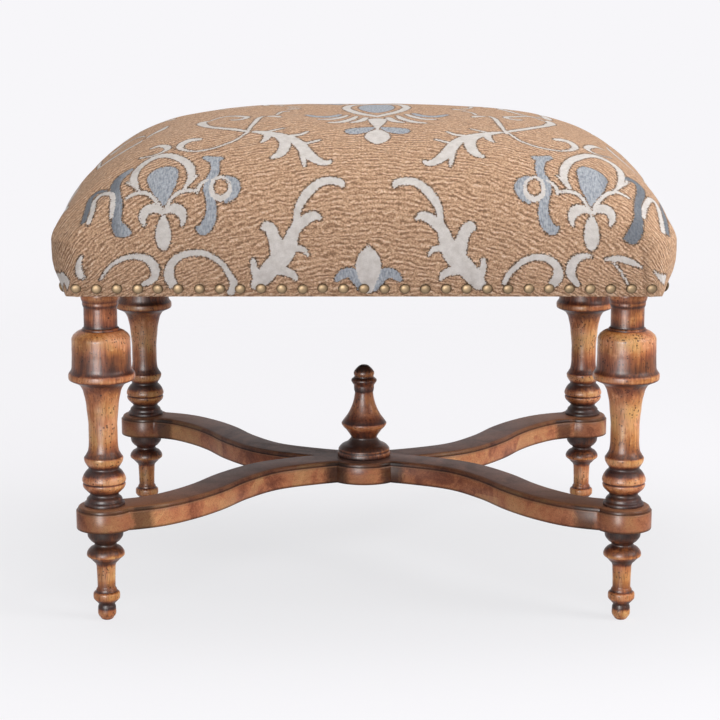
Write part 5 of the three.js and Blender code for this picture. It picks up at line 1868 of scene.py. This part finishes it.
class STOOL_OT_stage(bpy.types.Operator):
    """Pale floor and backdrop, soft studio lamps and the camera"""

    bl_idname = "stool.stage"
    bl_label = "Stage"

    def execute(self, context):
        settings = context.scene.stool_stage
        self.floor(settings)
        self.world(settings)
        power = settings.lamp_power
        for name, (place, size, share, gloss_only) in LAMPS.items():
            self.lamp(name, place, size, power * share, gloss_only)
        camera = bpy.data.cameras.new("camera")
        camera.lens = CAMERA_LENS
        camera.sensor_width = SENSOR
        camera.shift_x = -(PICTURE_AXIS_PX - PICTURE / 2) / PICTURE
        camera.dof.use_dof = False
        holder = bpy.data.objects.new("camera", camera)
        holder.location = (0, -CAMERA_BACK, CAMERA_HEIGHT)
        holder.rotation_euler = (math.pi / 2 - CAMERA_TILT, 0, 0)
        context.scene.collection.objects.link(holder)
        context.scene.camera = holder
        context.scene.view_settings.view_transform = "Standard"
        return {"FINISHED"}

    def floor(self, settings):
        """A round pale floor, with a painted shadow round the stool, that fades into the backdrop.

        What looks at it sees it mostly as bright as written, so that only a soft share of
        the shadows shows on it.
        """
        material, node = new_material("pale_floor")
        place = node("TexCoord").outputs["Object"]
        away = node("VectorMath", [place], operation="LENGTH")
        fade = node("MapRange", [away, *FLOOR_FADE, 0, 1], interpolation_type="SMOOTHSTEP")
        widened = node("Mapping", {"Vector": place, "Scale": PAINTED_SHADOW_SQUEEZE})
        near = node("VectorMath", [widened], operation="LENGTH")
        # Painted shadow: the floor's tone darkens towards the stool.
        painted_shadow = node("MapRange", [near, *PAINTED_SHADOW_FADE, 0, 1], interpolation_type="SMOOTHSTEP")
        backdrop = (*settings.backdrop, 1)
        shown = node("Mix", {0: painted_shadow, 6: (*settings.floor, 1), 7: backdrop}, data_type="RGBA")
        paint = node("BsdfDiffuse", {"Color": backdrop})
        bright = node("Emission", {"Color": shown, "Strength": FLOOR_STRENGTH})
        seen = node("Math", [looked_at(node), FLOOR_SEEN_SHARE], operation="MULTIPLY")
        lit = node("MixShader", [seen, paint, bright])
        clear = node("BsdfTransparent")
        shader = node("MixShader", [fade, lit, clear])
        node("OutputMaterial", [shader])
        points = [(0, 0, 0), *[(x, y, 0) for x, y in FLOOR_RADIUS * circle(FLOOR_SIDES)]]
        floor = mesh_object("floor", points, fan_faces(FLOOR_SIDES, 1, 0), material)
        floor.location.z = -FLOOR_DROP

    def world(self, settings):
        """White light from all round, and the backdrop's own colour for what sees it."""
        world = bpy.data.worlds.new("studio")
        world.use_nodes = True
        world.node_tree.nodes.clear()
        node = partial(add, world.node_tree)
        light = node("Background", {"Color": (1, 1, 1, 1), "Strength": WORLD_LIGHT})
        backdrop = node("Background", {"Color": (*settings.backdrop, 1), "Strength": 1})
        shader = node("MixShader", [looked_at(node), light, backdrop])
        node("OutputWorld", [shader])
        bpy.context.scene.world = world

    def lamp(self, name, place, size, power, gloss_only):
        """One soft box of a width and height, facing the stool."""
        lamp = bpy.data.lights.new(name, "AREA")
        lamp.shape = "RECTANGLE"
        lamp.size, lamp.size_y = size
        lamp.energy = power
        holder = bpy.data.objects.new(name, lamp)
        holder.location = place
        holder.visible_diffuse = not gloss_only
        aim = Vector(LAMP_AIM) - Vector(place)
        holder.rotation_euler = aim.to_track_quat("-Z", "Y").to_euler()
        bpy.context.scene.collection.objects.link(holder)


OPERATORS = (
    STOOL_OT_stage,
    STOOL_OT_legs,
    STOOL_OT_feet,
    STOOL_OT_finial,
    STOOL_OT_stretcher,
    STOOL_OT_cover,
    STOOL_OT_stuffing,
    STOOL_OT_nails,
    STOOL_OT_webbing,
    STOOL_OT_dust_cloth,
    STOOL_OT_frame_finish,
)


class STOOL_PT_panel(bpy.types.Panel):
    """The stool's pieces, in the order in which they are made"""

    bl_idname = "STOOL_PT_panel"
    bl_label = "X frame stool"
    bl_space_type = "VIEW_3D"
    bl_region_type = "UI"
    bl_category = "Stool"

    def draw(self, context):
        for group in (context.scene.stool_wood, context.scene.stool_seat, context.scene.stool_stage):
            for name in group.bl_rna.properties.keys():
                if name not in ("rna_type", "name"):
                    self.layout.prop(group, name)
        for operator in OPERATORS:
            self.layout.operator(operator.bl_idname)


CLASSES = (StoolWood, StoolSeat, StoolStage, *OPERATORS, STOOL_PT_panel)


def register():
    for made in CLASSES:
        bpy.utils.register_class(made)
    bpy.types.Scene.stool_wood = bpy.props.PointerProperty(type=StoolWood)
    bpy.types.Scene.stool_seat = bpy.props.PointerProperty(type=StoolSeat)
    bpy.types.Scene.stool_stage = bpy.props.PointerProperty(type=StoolStage)


def unregister():
    del bpy.types.Scene.stool_stage
    del bpy.types.Scene.stool_seat
    del bpy.types.Scene.stool_wood
    for made in reversed(CLASSES):
        bpy.utils.unregister_class(made)


def main():
    register()
    for operator in OPERATORS:
        group, name = operator.bl_idname.split(".")
        result = getattr(getattr(bpy.ops, group), name)()
        if result != {"FINISHED"}:
            raise RuntimeError(f"{operator.bl_idname} did not finish")


if __name__ == "__main__":
    main()
